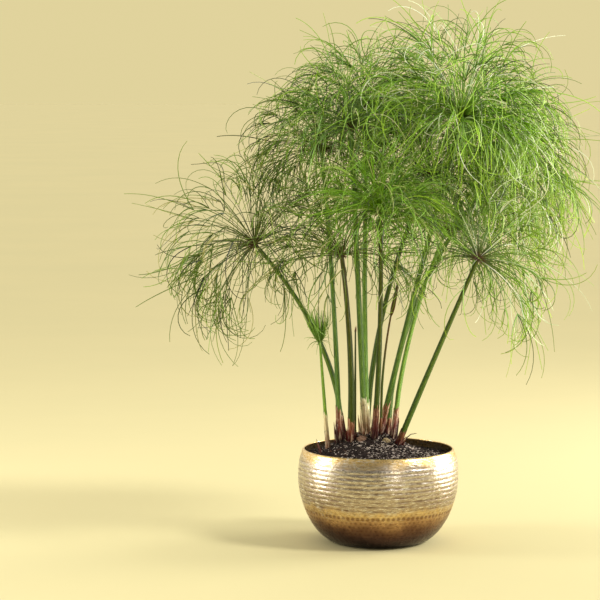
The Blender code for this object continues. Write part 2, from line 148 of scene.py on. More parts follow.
# %% Let lines sag and curl
def sagging_lines(starts, headings, lengths, sag, curl, steps, late=1.0):
    """Lines that sag, and turn about their own curl axis, by so many radians, most of it late on."""
    lines, heading, sag = [np.broadcast_to(starts, headings.shape)], unit(headings), np.reshape(sag, (-1, 1))
    for step in range(1, steps + 1):
        share = (late + 1.0) * (step / steps) ** late / steps
        pull = heading * heading[:, 2:] - UP
        heading = unit(heading + pull * (sag * share) + np.cross(curl, heading) * share)
        lines.append(lines[-1] + heading * (lengths / steps)[:, None])
    return np.stack(lines, axis=1)

# %% [markdown]
# ## Small helpers for finishes
# A finish is a tree of nodes. One helper adds a node and fills or links its inputs. The others add the
# few kinds that come back often, to the same tree as the output that they are given, so that each
# finish below reads as a list of what is seen on the real surface.

# %% Add nodes
def add(tree, kind, inputs=None, **settings):
    """A new node. Each input, by name or number, is linked to another node's output or given a value."""
    node = tree.nodes.new(kind)
    for name, value in settings.items():
        setattr(node, name, value)
    for name, value in (inputs or {}).items():
        if isinstance(value, bpy.types.NodeSocket):
            tree.links.new(value, node.inputs[name])
        else:
            node.inputs[name].default_value = (*value, 1.0) if node.inputs[name].type == "RGBA" else value
    return node


def plus(first, second):
    return add(first.id_data, "ShaderNodeMath", {0: first, 1: second}).outputs["Value"]


def times(first, second):
    return add(first.id_data, "ShaderNodeMath", {0: first, 1: second}, operation="MULTIPLY").outputs["Value"]


def between(value, low, high, least=0.0, most=1.0):
    """A value read from a range and given again in another, and held at its ends."""
    return add(value.id_data, "ShaderNodeMapRange", {
        "Value": value, "From Min": low, "From Max": high, "To Min": least, "To Max": most}).outputs["Result"]


def ramp(factor, *stops):
    """A colour ramp; each stop is a place from 0 to 1 and a colour."""
    node = add(factor.id_data, "ShaderNodeValToRGB", {"Fac": factor})
    marks = node.color_ramp.elements
    while len(marks) < len(stops):
        marks.new(1.0)
    for mark, (place, colour) in zip(marks, stops):
        mark.position = place
        mark.color = (*colour, 1.0)
    return node.outputs["Color"]


def blend(factor, first, second, how="MIX"):
    """A mix of two colours, of which the factor or the first is another node's output."""
    tree = (factor if isinstance(factor, bpy.types.NodeSocket) else first).id_data
    inputs = {0: factor, 6: first, 7: second}
    return add(tree, "ShaderNodeMix", inputs, data_type="RGBA", blend_type=how).outputs[2]


def stored(tree, name, output="Fac"):
    """A value that a mesh carries on its points."""
    return add(tree, "ShaderNodeAttribute", attribute_name=name).outputs[output]


# %% [markdown]
# A material is started and completed in the same way each time. The first helper sets what is the same
# all over on the shader's own sockets, and the second links the colour, the bump and, where it isn't
# the same all over, the roughness.

# %% Start and complete a finish
def new_finish(name, roughness, specular=0.5, metallic=0.0):
    """A new material and its node tree."""
    material = bpy.data.materials.new(name)
    material.use_nodes = True
    sockets = material.node_tree.nodes["Principled BSDF"].inputs
    for socket, value in (("Roughness", roughness), ("Specular IOR Level", specular), ("Metallic", metallic)):
        sockets[socket].default_value = value
    return material, material.node_tree


def complete(material, tone, height, strength, distance, roughness=None):
    """The material, with its colour, its bump and perhaps its roughness linked to its shader."""
    tree = material.node_tree
    bump = add(tree, "ShaderNodeBump", {"Height": height, "Strength": strength, "Distance": distance})
    for socket, value in (("Base Color", tone), ("Normal", bump.outputs["Normal"]), ("Roughness", roughness)):
        if value is not None:
            tree.links.new(value, tree.nodes["Principled BSDF"].inputs[socket])
    return material


# %% [markdown]
# ## Mottling, shared by almost every finish
# Nothing on a plant, in soil or on old brass has one even tone. A group of two noises in object space,
# a broad one and a fine one, is built once and placed in each finish with its own sizes.

# %% Build the mottling group
def build_group(name, inputs, outputs):
    group = bpy.data.node_groups.new(name, "ShaderNodeTree")
    for socket, value in inputs.items():
        made = group.interface.new_socket(socket, in_out="INPUT", socket_type="NodeSocketFloat")
        made.default_value = value
    for socket in outputs:
        group.interface.new_socket(socket, in_out="OUTPUT", socket_type="NodeSocketFloat")
    return group, group.nodes.new("NodeGroupInput"), group.nodes.new("NodeGroupOutput")


def place_group(tree, group, *values):
    """The outputs of a group placed in a finish, with its inputs set in their order."""
    node = add(tree, "ShaderNodeGroup", node_tree=group)
    for socket, value in zip(node.inputs, values):
        socket.default_value = value
    return node.outputs


scales = {"Broad scale": 12.0, "Fine scale": 120.0}
mottling, taken, given = build_group("mottling", scales, ("Broad", "Fine"))
place = add(mottling, "ShaderNodeTexCoord").outputs["Object"]
for part in ("Broad", "Fine"):
    patches = add(mottling, "ShaderNodeTexNoise", {
        "Vector": place, "Scale": taken.outputs[f"{part} scale"], "Detail": 4.0, "Roughness": 0.6})
    mottling.links.new(patches.outputs["Fac"], given.inputs[part])
print("group:", mottling.name)

# %% [markdown]
# ## Fibres, shared by stems, sheaths and bud
# The skin of a papyrus stem is ribbed lengthwise by fine fibres. The mesh carries a vector that says
# where each point lies round and along the piece, and a noise stretched along it draws the fibres.

# %% Build the fibre group
fibres, taken, given = build_group("fibres", {"Fineness": 9.0}, ("Streak", "Rib"))
lengthwise = stored(fibres, "fibre", "Vector")
for part, spread in (("Streak", 1.0), ("Rib", 3.1)):
    fineness = times(taken.outputs["Fineness"], spread)
    lines = add(fibres, "ShaderNodeTexNoise", {
        "Vector": lengthwise, "Scale": fineness, "Detail": 2.0, "Roughness": 0.55})
    fibres.links.new(lines.outputs["Fac"], given.inputs[part])
print("group:", fibres.name)

# %% [markdown]
# ## The brass bowl
# The bowl is thin spun brass, then hammered by hand: a smooth bright band under the rim, broad ribs
# between ten narrow grooves, a row of clear round dimples below them, and fainter rows down to the
# foot. A bump alone would leave its outline smooth, so the ribs and dimples are real geometry: a close
# grid of points is turned round the axis, and each point is pushed in or out.

# %% Measure the bowl
FOOT_RADIUS = 0.074
WIDEST_RADIUS = 0.1405
MOUTH_RADIUS = 0.1315
WIDEST_HEIGHT = 0.112
POT_HEIGHT = 0.1645
POT_WALL = 0.0022
POT_FLOOR = 0.0030
BELLY_FULLNESS = 1.75
SHOULDER_TURN = 3.1


def turned(radius, height, angle):
    """Rows of points round the upright axis."""
    return np.stack(np.broadcast_arrays(radius * np.cos(angle), radius * np.sin(angle), height), axis=-1)


def bowl_radius(height):
    """The outside radius of the bowl at each height."""
    height = np.asarray(height, float)
    below = np.clip(1.0 - height / WIDEST_HEIGHT, 0.0, 1.0)
    belly = (1.0 - below**BELLY_FULLNESS) ** (1.0 / BELLY_FULLNESS)
    above = np.clip((height - WIDEST_HEIGHT) / (POT_HEIGHT - WIDEST_HEIGHT), 0.0, 1.0)
    shoulder = (WIDEST_RADIUS - MOUTH_RADIUS) * above**SHOULDER_TURN
    return FOOT_RADIUS + (WIDEST_RADIUS - FOOT_RADIUS) * belly - shoulder


COLUMNS = 600
ROW_SPACING = 0.0014
FOOT_CROWDING = 2.2
heights = np.linspace(0.0, 1.0, 1500) ** FOOT_CROWDING * (POT_HEIGHT - POT_WALL / 2.0)
radii = bowl_radius(heights)
lengths = np.concatenate([[0.0], np.cumsum(np.hypot(np.diff(radii), np.diff(heights)))])
rows = np.linspace(0.0, lengths[-1], int(lengths[-1] / ROW_SPACING))
outside = np.stack([np.interp(rows, lengths, radii), np.interp(rows, lengths, heights)], axis=1)
print(f"outside of the bowl: {lengths[-1] * 1000:.0f} mm long in {len(rows)} rows")

# %% [markdown]
# Hand work is never regular. A noise in the finish would leave the points where they are, so the
# unevenness comes from a map: a table of random numbers over height and angle, read smoothly between
# its rows and columns. A map of few numbers makes slow waves, and one of many makes small dents.

# %% Read a random map
def eased(share):
    """A share from 0 to 1 that starts and ends softly."""
    return share * share * (3.0 - 2.0 * share)


def random_map(height, angle, count, tall, seed):
    """Smooth random heights from about -1 to 1: count patches in a turn, each tall metres high."""
    table = np.random.default_rng(seed).normal(0.0, 0.5, (int(2.0 * POT_HEIGHT / tall), count))
    up, turn = height / tall, angle / math.tau * count
    row, column = np.floor(up).astype(int), np.floor(turn).astype(int)
    rise, onward = eased(up - row), eased(turn - column)
    here, after = column % count, (column + 1) % count
    low = table[row, here] * (1.0 - onward) + table[row, after] * onward
    high = table[row + 1, here] * (1.0 - onward) + table[row + 1, after] * onward
    return low * (1.0 - rise) + high * rise


# %% [markdown]
# The hammering is a height map in millimetres. Its grooves wander and fade with the random maps, the
# ribs between them swell a little, each dimple is a soft round hollow, and small patches dent the ribs
# as the flat face of a hammer does. Each point of the grid then moves square to the wall.

# %% Hammer the bowl
GROOVE_SPACING = 0.0080
GROOVES = 0.0745 + GROOVE_SPACING * np.arange(10)
GROOVE_HALF_WIDTH = 0.0011
BEAD_HEIGHT, BEAD_HALF_WIDTH = 0.1615, 0.0016
PLAIN_BAND = 0.1540
# how far these stand in or out, in millimetres
GROOVE_DEPTH, RIB_SWELL, BEAD_SWELL = 0.62, 0.20, 0.35
DENTS, FINE_DENTS, SLOW_WAVES = 0.16, 0.04, 0.12
DIMPLES_ROUND = 92
# each row of dimples: height, depth in mm, half width along and up in mm, start in parts of a dimple
DIMPLES = (
    (0.0668, 0.34, 2.0, 1.7, 0.5),
    (0.0598, 1.00, 2.9, 2.8, 0.0),
    (0.0515, 0.40, 2.1, 1.9, 0.5),
    (0.0445, 0.30, 2.0, 1.8, 0.0),
    (0.0375, 0.26, 1.8, 1.7, 0.5),
    (0.0305, 0.24, 1.7, 1.6, 0.0),
    (0.0230, 0.18, 1.5, 1.5, 0.5),
    (0.0145, 0.12, 1.4, 1.4, 0.0),
)


def swell(away, half_width):
    return np.exp(-((away / half_width) ** 2))


def hammering(height, radius, angle):
    """How far the brass stands out (+) or in (-) at a height and angle, in millimetres."""
    wander = 0.0010 * random_map(height, angle, 14, 0.020, 1)
    level = height + wander
    broken = np.clip(0.62 + 0.8 * random_map(height, angle, 44, 0.005, 2), 0.12, 1.0)
    push = np.zeros(broken.shape)
    for groove in GROOVES:
        push -= GROOVE_DEPTH * broken * swell(level - groove, GROOVE_HALF_WIDTH)
    ribbed = (level > GROOVES[0]) & (level < GROOVES[-1])
    push += np.where(ribbed, RIB_SWELL * np.sin((level - GROOVES[0]) / GROOVE_SPACING * math.pi) ** 2, 0.0)
    push += BEAD_SWELL * swell(height - BEAD_HEIGHT, BEAD_HALF_WIDTH)
    for row, depth, wide, tall, start in DIMPLES:
        turn = (angle / math.tau * DIMPLES_ROUND + start + 0.5) % 1.0 - 0.5
        sideways = turn * math.tau * radius / DIMPLES_ROUND * 1000.0 / wide
        upright = (height - row + 0.5 * wander) * 1000.0 / tall
        push -= depth * np.exp(-(sideways**2) - upright**2)
    dented = np.clip((PLAIN_BAND - height) / 0.004, 0.15, 1.0)
    push += dented * DENTS * random_map(height, angle, 130, 0.0062, 3)
    push += dented * FINE_DENTS * random_map(height, angle, 190, 0.0036, 4)
    return push + SLOW_WAVES * random_map(height, angle, 21, 0.030, 5)


angle = np.arange(COLUMNS) / COLUMNS * math.tau
push = hammering(outside[:, 1:], outside[:, :1], angle)
slope = unit(np.gradient(outside, axis=0))
edge_fade = np.clip((POT_HEIGHT - POT_WALL - outside[:, 1]) / 0.002, 0.0, 1.0)
foot_fade = np.clip(outside[:, 1] / 0.006, 0.0, 1.0)
push *= (edge_fade * foot_fade)[:, None]
moved = push / 1000.0
outer_wall = turned(outside[:, :1] + moved * slope[:, 1:], outside[:, 1:] - moved * slope[:, :1], angle)
print(f"hammering from {push.min():.2f} to {push.max():.2f} mm")

# %% [markdown]
# The rim is folded over into a round edge, and the inside is left smooth. Both are plain turned rows
# that carry on from the last outer row, and flat faces close the foot and the floor of the hollow.

# %% Close the bowl
lip = np.linspace(0.0, math.pi, 7)[1:]
turn_over = 1.0 - np.stack([np.cos(lip), np.sin(lip)], axis=1)
rolled = np.array([MOUTH_RADIUS, POT_HEIGHT]) - POT_WALL / 2.0 * turn_over
hollow_heights = np.array([
    0.1605, 0.157, 0.153, 0.149, 0.144, 0.130, 0.112, 0.090, 0.070, 0.050, 0.030, 0.015, 0.006, POT_FLOOR])
hollow = np.stack([bowl_radius(hollow_heights) - POT_WALL, hollow_heights], axis=1)
inner_rows = np.concatenate([rolled, hollow])
bowl = np.concatenate([outer_wall, turned(inner_rows[:, :1], inner_rows[:, 1:], angle)])
depth = np.concatenate([push, np.zeros((len(inner_rows), COLUMNS))])
bowl_faces = closed_faces(1, len(bowl), COLUMNS)
print("bowl faces:", len(bowl_faces))

# %% [markdown]
# The finish reads the height for the slow change from a golden rim to a purple-brown foot, so that it
# grows darker towards the foot, and the stored hammering for dark hollows and bright ridges. A noise
# that is squeezed in height draws the short level dashes of tarnish and polish between the ribs, and a
# pattern of small cells adds the finest blows as a bump.

# %% Brass finish
def stretched(tree, scale):
    """Object coordinates, scaled apart in each direction."""
    place = add(tree, "ShaderNodeTexCoord").outputs["Object"]
    return add(tree, "ShaderNodeVectorMath", {0: place, 1: scale}, operation="MULTIPLY").outputs["Vector"]


def make_brass():
    material, tree = new_finish("hammered_brass", 0.30, metallic=1.0)
    spots = place_group(tree, mottling, 24.0, 260.0)
    where = add(tree, "ShaderNodeSeparateXYZ", {"Vector": add(tree, "ShaderNodeTexCoord").outputs["Object"]})
    level = plus(where.outputs["Z"], times(plus(spots["Broad"], -0.5), 0.034))
    tone = ramp(
        between(level, 0.0, POT_HEIGHT),
        (0.04, (0.055, 0.032, 0.034)), (0.15, (0.105, 0.056, 0.048)), (0.24, (0.220, 0.118, 0.072)),
        (0.32, (0.500, 0.310, 0.160)), (0.40, (0.740, 0.540, 0.270)), (0.47, (0.460, 0.365, 0.285)),
        (0.88, (0.580, 0.510, 0.430)), (0.955, (0.820, 0.580, 0.240)))
    hollow = between(stored(tree, "depth"), -0.45, 0.10, 1.0, 0.0)
    tarnish = blend(1.0, tone, (0.34, 0.26, 0.22), "MULTIPLY")
    tone = blend(times(hollow, 0.80), tone, tarnish)
    dashes = add(tree, "ShaderNodeTexNoise", {
        "Vector": stretched(tree, (110.0, 110.0, 700.0)), "Scale": 1.0, "Detail": 3.0}).outputs["Fac"]
    tone = blend(between(dashes, 0.54, 0.68, 0.0, 0.50), tone, tarnish)
    polish = times(between(dashes, 0.46, 0.32), between(level, 0.05, 0.08, 0.0, 0.70))
    tone = blend(polish, tone, (0.940, 0.910, 0.850))
    worn = plus(spots["Fine"], times(hollow, 0.5))
    blows = add(tree, "ShaderNodeTexVoronoi", {
        "Vector": stretched(tree, (230.0, 230.0, 260.0)), "Scale": 1.0}).outputs["Distance"]
    relief = plus(blows, times(dashes, 0.8))
    return complete(material, tone, relief, 0.20, 0.0008, between(worn, 0.35, 1.0, 0.22, 0.50))


values = {"depth": depth.ravel()}
make_piece("hammered_bowl", bowl.reshape(-1, 3), bowl_faces, make_brass(), values, "pot")

# %% [markdown]
# ## The soil
# The bowl is filled with dark, crumbly potting mix that is heaped up round the clump. The heap repeats
# the measured surface, with a finer roughness from a fractal noise, and its sides go down inside the
# bowl so that it is a closed body and not a sheet.

# %% Heap the soil
SOIL_EDGE = 0.150
MOUND_RISE = 0.042
MOUND_CENTRE = np.array([-0.016, 0.0])
MOUND_REACH = np.array([0.128, 0.118])
LUMP_HEIGHT = 0.0022
LUMPS_ACROSS = 19.0
LUMPS_BACK = 16.34
EDGE_LUMPS = 0.3
SOIL_GAP = 0.0006
CRUMB_HEIGHT = 0.0016
CRUMBS_PER_METRE = 130.0


def soil_height(x, y):
    """The heaped surface of the soil, with its larger lumps."""
    away = np.hypot((x - MOUND_CENTRE[0]) / MOUND_REACH[0], (y - MOUND_CENTRE[1]) / MOUND_REACH[1])
    share = np.maximum(0.0, 1.0 - away)
    lumps = np.sin(x * LUMPS_ACROSS * math.tau) * np.cos(y * LUMPS_BACK * math.tau)
    lumpiness = EDGE_LUMPS + (1.0 - EDGE_LUMPS) * share
    return SOIL_EDGE + MOUND_RISE * eased(share) + LUMP_HEIGHT * lumps * lumpiness


def crumbly(x, y):
    """The fine roughness of the mix at a point, in metres."""
    spot = Vector((x * CRUMBS_PER_METRE, y * CRUMBS_PER_METRE, 4.0))
    return CRUMB_HEIGHT * noise.fractal(spot, 1.0, 2.0, 4)


SOIL_RINGS, SOIL_COLUMNS = 54, 168
edge = float(bowl_radius(SOIL_EDGE)) - POT_WALL - SOIL_GAP
angle = np.arange(SOIL_COLUMNS) / SOIL_COLUMNS * math.tau
reach = np.linspace(1.0, 0.012, SOIL_RINGS)[:, None] * edge
x, y = reach * np.cos(angle), reach * np.sin(angle)
rough = np.array([[crumbly(*spot) for spot in zip(*row)] for row in zip(x, y)])
inside = np.clip((edge - reach) / 0.006, 0.0, 1.0)
top = np.stack([x, y, soil_height(x, y) * inside + SOIL_EDGE * (1.0 - inside) + rough * inside], axis=-1)
below = np.array([POT_FLOOR + 0.0003, 0.020, 0.045, 0.075, 0.112, 0.135])[:, None]
soil = np.concatenate([turned(bowl_radius(below) - POT_WALL - SOIL_GAP, below, angle), top])
soil_faces = closed_faces(1, len(soil), SOIL_COLUMNS)
print("soil stands from", round(float(top[..., 2].min()), 4), "to", round(float(top[..., 2].max()), 4))

# %% [markdown]
# Moist peat is almost black, with reddish and grey grains in it. Its colour is broken up by both noises
# of the shared group, and a strong bump keeps it from looking like paint.

# %% Finishes for the mix
def make_earth(name, dark, light, scale, roughness=0.95, relief=0.9):
    material, tree = new_finish(name, roughness, 0.25)
    spots = place_group(tree, mottling, scale, scale * 9.0)
    grain = times(plus(spots["Broad"], spots["Fine"]), 0.5)
    tone = ramp(grain, (0.36, dark), (0.66, light))
    tone = blend(1.0, tone, between(stored(tree, "tone"), 0.0, 1.0, 0.55, 1.35), "MULTIPLY")
    return complete(material, tone, grain, relief, 0.0015)


potting_mix = make_earth("potting_mix", (0.005, 0.003, 0.003), (0.040, 0.025, 0.022), 60.0)
bark = make_earth("rootstock_bark", (0.050, 0.020, 0.015), (0.440, 0.270, 0.190), 170.0, 0.8)
pale_bark = make_earth("rootstock_pale", (0.160, 0.090, 0.040), (0.720, 0.590, 0.350), 130.0, 0.8)
chips = make_earth("bark_chips", (0.020, 0.010, 0.008), (0.180, 0.085, 0.050), 150.0, 0.85)
grit = make_earth("pale_grit", (0.300, 0.230, 0.200), (0.800, 0.700, 0.620), 180.0, 0.8, 0.4)
make_piece("soil_heap", soil.reshape(-1, 3), soil_faces, potting_mix, {"tone": 0.5}, "soil")

# %% [markdown]
# Loose crumbs, chips of bark and pale grit lie on the heap. Each is a twenty-sided lump with its corners
# moved at random, and many thousands of corners are placed with one sum of arrays instead of a particle
# system, so that the finished piece is an ordinary mesh.

# %% Scatter crumbs, bark and grit
RIM_MARGIN = 0.003


def ball(subdivisions):
    """Corners and triangles of a ball of radius one. At one subdivision it has twenty sides."""
    bm = bmesh.new()
    bmesh.ops.create_icosphere(bm, subdivisions=subdivisions, radius=1.0)
    corners = np.array([vert.co[:] for vert in bm.verts])
    faces = [[vert.index for vert in face.verts] for face in bm.faces]
    bm.free()
    return corners, faces


def scatter(name, count, sizes, stretch, material, seed, drawn_to=(0.0, 0.0), pull=0.0):
    draw = np.random.default_rng(seed)
    corners, faces = ball(1)
    away = (edge - RIM_MARGIN) * np.sqrt(draw.random(count))
    turn = draw.random(count) * math.tau
    spots = np.stack([away * np.cos(turn), away * np.sin(turn)], axis=1)
    spots += (np.array(drawn_to) - spots) * pull * draw.random((count, 1))
    size = draw.uniform(*sizes, count)
    shape = corners * draw.uniform(0.65, 1.25, (count, len(corners), 1))
    shape *= np.stack([np.full(count, stretch), np.ones(count), draw.uniform(0.35, 0.8, count)], 1)[:, None]
    x, y, z = np.moveaxis(shape, -1, 0)
    spin = draw.random((count, 1)) * math.tau
    tilt = draw.uniform(-0.5, 0.5, (count, 1))
    cos, sin = np.cos(spin), np.sin(spin)
    lumps = np.stack([x * cos - y * sin, x * sin + y * cos, z + x * tilt], axis=-1)
    ground = soil_height(spots[:, 0], spots[:, 1]) + size * 0.25
    points = lumps * size[:, None, None] + np.concatenate([spots, ground[:, None]], axis=1)[:, None]
    all_faces = (np.arange(count)[:, None, None] * len(corners) + np.array(faces)).reshape(-1, 3).tolist()
    tone = np.repeat(draw.random(count), len(corners))
    make_piece(name, points.reshape(-1, 3), all_faces, material, {"tone": tone}, sharp=30.0)
    print(f"{name}: {count} lumps")


scatter("soil_crumbs", 2400, (0.0008, 0.0027), 1.2, potting_mix, 1)
scatter("bark_chips", 90, (0.0010, 0.0021), 2.2, chips, 2, (-0.01, -0.02), 0.5)
scatter("pale_grit", 1900, (0.0006, 0.0014), 2.4, grit, 3, (0.055, -0.04), 0.50)

# %% [markdown]
# ## The stems
# A papyrus stem is as bare as a pole, and each one here has its own lean, thickness and tone. They are
# kept in two tables, because the sheaths and the mops are fitted to the stems later on.

# %% Where the stems stand
# in both tables the brightness is partly each stem's own tone and partly painted light and shade
# foot on the soil, top under the head, sideways bow, size of the head, thickness, brightness, redness
TALL_STEMS = {
    "a": ((-0.062, 0.021), (-0.212, -0.050, 0.524), (0.034, 0.020), 0.96, 1.00, 0.50, 0.10),
    "b": ((-0.048, -0.024), (-0.063, -0.100, 0.508), (0.0065, 0.000), 0.90, 1.15, 0.16, 0.40),
    "c": ((-0.007, -0.030), (0.002, -0.120, 0.582), (0.005, 0.000), 0.86, 1.00, 0.26, 0.35),
    "d": ((0.035, -0.024), (0.168, -0.090, 0.502), (-0.001, 0.000), 0.94, 1.05, 0.45, 0.22),
    "e": ((-0.068, -0.010), (-0.102, 0.080, 0.681), (0.005, -0.010), 0.92, 0.95, 0.62, 0.00),
    "f": ((0.003, 0.017), (0.143, 0.012, 0.740), (-0.003, 0.000), 1.26, 1.05, 0.55, 0.00),
    "g": ((-0.0235, -0.010), (-0.048, -0.035, 0.722), (0.000, 0.000), 0.88, 1.10, 0.58, 0.00),
    "h": ((-0.0195, 0.014), (-0.020, 0.115, 0.758), (-0.005, -0.012), 0.86, 1.00, 0.75, 0.00),
    "i": ((-0.021, 0.039), (0.086, 0.030, 0.638), (-0.022, 0.010), 0.96, 1.00, 0.35, 0.05),
    "j": ((0.026, -0.003), (0.118, 0.100, 0.536), (-0.016, 0.000), 0.96, 0.90, 0.80, 0.00),
    "k": ((0.016, 0.041), (0.225, 0.135, 0.662), (-0.050, 0.006), 1.04, 1.00, 0.50, 0.00),
}
# foot, top, bow, thickness, brightness, redness
SHORT_STEMS = {
    "young": ((-0.088, -0.015), (-0.102, -0.030, 0.356), (0.000, 0.000), 0.62, 0.80, 0.00),
    "bud": ((0.004, -0.006), (0.021, -0.036, 0.400), (-0.005, 0.000), 0.48, 0.30, 0.90),
    "stub": ((-0.0405, 0.010), (-0.0405, 0.004, 0.370), (0.000, 0.000), 0.40, 0.10, 0.20),
}
ALL_STEMS = {**TALL_STEMS, **SHORT_STEMS}
THICKNESS = {letter: place[-3] for letter, place in ALL_STEMS.items()}
print("tall stems:", len(TALL_STEMS), "short stems:", len(SHORT_STEMS))

# %% [markdown]
# Each stem follows the same line as its measured solid: straight in its sheath, then gently bowed.
# Across, it is a triangle with blunt corners, and so it shows a light flat and a dark flat side by
# side. Sixty-five stations and twenty-four corners round make it smooth.

# %% Line and outline of a stem
STEM_RADIUS = 0.0053
STEM_TAPER = 0.68
STEM_DEPTH = 0.012
STRAIGHT_FOOT = 0.085
FLAT_SHARE = 0.73
STRAIGHT_STATIONS, BOWED_STATIONS = 8, 56


def stem_line(foot, top, bow):
    """The centre line of a stem, and how far along it each station lies."""
    base = np.array([*foot, float(soil_height(*foot))])
    rise = np.array(top) - base
    first = STRAIGHT_FOOT / np.linalg.norm(rise)
    share = np.linspace(first, 1.0, BOWED_STATIONS)[:, None]
    bowed = base + rise * share + np.array([*bow, 0.0]) * 4.0 * share * (1.0 - share)
    straight = base + (bowed[0] - base) * np.linspace(0.0, 1.0, STRAIGHT_STATIONS, endpoint=False)[:, None]
    buried = base - unit(bowed[0] - base) * STEM_DEPTH
    line = np.concatenate([[buried], straight, bowed])
    return line, np.concatenate([np.zeros(STRAIGHT_STATIONS + 1), (share[:, 0] - first) / (1.0 - first)])


def blunt_triangle(angle):
    """Distance from the middle to the outline of a blunt triangle, where its corners are at one."""
    third = math.tau / 3.0
    from_corner = np.abs((angle + math.pi / 2.0 + third / 2.0) % third - third / 2.0)
    flat = np.cos(third / 2.0 - from_corner)
    return ((flat / FLAT_SHARE) ** 8 + 1.0) ** (-1.0 / 8.0)


# %% [markdown]
# The skin is a waxy green with a soft shine. Brightness and redness are stored on each stem: the
# brightness is partly the stem's own tone and partly painted light and shade, lighter on lit stems and
# darker on backlit ones, and some stems turn red-brown. Fibres rib the skin, and its blunt corners are
# painted pale as a highlight, so a value that is one at the corners and nought on the flats is stored
# as well.

# %% Skin of the stems
def make_skin(name):
    material, tree = new_finish(name, 0.40, 0.10)
    lines = place_group(tree, fibres, 9.0)
    spots = place_group(tree, mottling, 14.0, 300.0)
    green = ramp(
        stored(tree, "tone"), (0.0, (0.018, 0.030, 0.003)), (0.35, (0.036, 0.072, 0.010)),
        (0.7, (0.084, 0.178, 0.032)), (1.0, (0.200, 0.390, 0.038)))
    reddish = times(stored(tree, "red"), times(spots["Broad"], 1.5))
    tone = blend(reddish, green, (0.075, 0.034, 0.010))
    pale = between(lines["Streak"], 0.52, 0.66, 0.0, 0.70)
    tone = blend(pale, tone, (2.6, 2.1, 1.8), "MULTIPLY")
    dark = between(lines["Streak"], 0.45, 0.30, 0.0, 0.75)
    tone = blend(dark, tone, (0.45, 0.45, 0.40), "MULTIPLY")
    # the blunt corners are painted pale: a painted highlight along the edges of the stem
    corner = times(stored(tree, "corner"), between(lines["Rib"], 0.35, 0.60, 0.0, 0.55))
    tone = blend(corner, tone, (3.4, 2.9, 3.2), "MULTIPLY")
    relief = plus(lines["Rib"], times(spots["Fine"], 0.3))
    return complete(material, tone, relief, 0.5, 0.0006, between(spots["Broad"], 0.0, 1.0, 0.24, 0.46))


def fibre_vector(around, lengths, stretch=10.0):
    """Where each point lies round and along a piece, for the fibres: the long way is shrunk."""
    return np.stack([np.cos(around), np.sin(around), lengths * stretch], axis=1)


SKIN_SIDES = 24
stem_skin = make_skin("stem_green")
brown_skin = make_skin("bud_brown")
lines_of = {}
for letter, place in ALL_STEMS.items():
    line, grown = stem_line(*place[:3])
    radii = STEM_RADIUS * THICKNESS[letter] * (1.0 - (1.0 - STEM_TAPER) * grown)
    points, faces, around, station = tubes(line[None], radii, SKIN_SIDES, blunt_triangle)
    length = np.linalg.norm(np.diff(line, axis=0), axis=1).sum()
    # the stem's brightness: its own tone together with painted light and shade
    painted_light_and_tone, redness = place[-2:]
    red = redness * np.clip(np.repeat(grown, SKIN_SIDES) * 1.4 - 0.1, 0.15, 1.0)
    # one at the blunt corners, where the painted highlight goes
    corner = np.clip((blunt_triangle(around) - 0.87) / 0.04, 0.0, 1.0)
    fibre = fibre_vector(around, station * length)
    values = {"tone": painted_light_and_tone, "red": red, "corner": corner, "fibre": fibre}
    skin, slot = (brown_skin, "bud_brown") if letter == "bud" else (stem_skin, "stem_green")
    make_piece(f"stem_{letter}_skin", points, faces, skin, values, f"stem_{letter}")
    lines_of[letter] = line
print("stems:", len(lines_of))

# %% [markdown]
# ## The sheaths
# Each stem rises out of a few overlapping, papery scales: red-purple when fresh, cream and torn when old.
# The inner scales hug the stem, and the outer ones are narrow, dead and lean away from it.

# %% Measure the sheaths
# height above the soil, direction of the point, and whether it is red or cream
SHEATHS = {
    "a": (0.050, 80.0, "red"),
    "b": (0.044, 200.0, "red"),
    "c": (0.067, 100.0, "red"),
    "d": (0.030, 20.0, "red"),
    "e": (0.066, 160.0, "red"),
    "f": (0.060, 40.0, "red"),
    "g": (0.072, 290.0, "cream"),
    "h": (0.056, 60.0, "cream"),
    "i": (0.040, 120.0, "cream"),
    "j": (0.062, 330.0, "red"),
    "k": (0.044, 60.0, "red"),
    "young": (0.072, 250.0, "cream"),
    "bud": (0.030, 300.0, "red"),
}
# each scale: share of the height, turn in degrees, half width in radians, gap and flare in parts of
# GAP_PART, and how low its sides are beside its point
SCALES = (
    (1.00, 0.0, 2.9, 0.1, 0.2, 0.80),
    (0.92, 150.0, 1.6, 0.5, 0.4, 0.45),
    (0.80, -95.0, 1.2, 0.9, 0.8, 0.20),
    (0.62, 60.0, 0.9, 1.2, 2.0, 0.10),
    (0.46, -150.0, 0.6, 1.5, 4.2, 0.06),
    (0.56, 10.0, 0.5, 1.6, 5.0, 0.05),
)
print("scales on each sheath:", len(SCALES))

# %% [markdown]
# A scale is a thin sheet curled round the stem and cut to a point. It could be cut from a flat sheet
# and bent, but a small grid of points round an arc follows the blunt corners of the stem at once. Its
# upper edge is ragged, and a Solidify modifier gives it the thickness of paper later on.

# %% Shape of a scale
GAP_PART = 0.0008
ROUND_STEPS, UP_STEPS = 24, 14


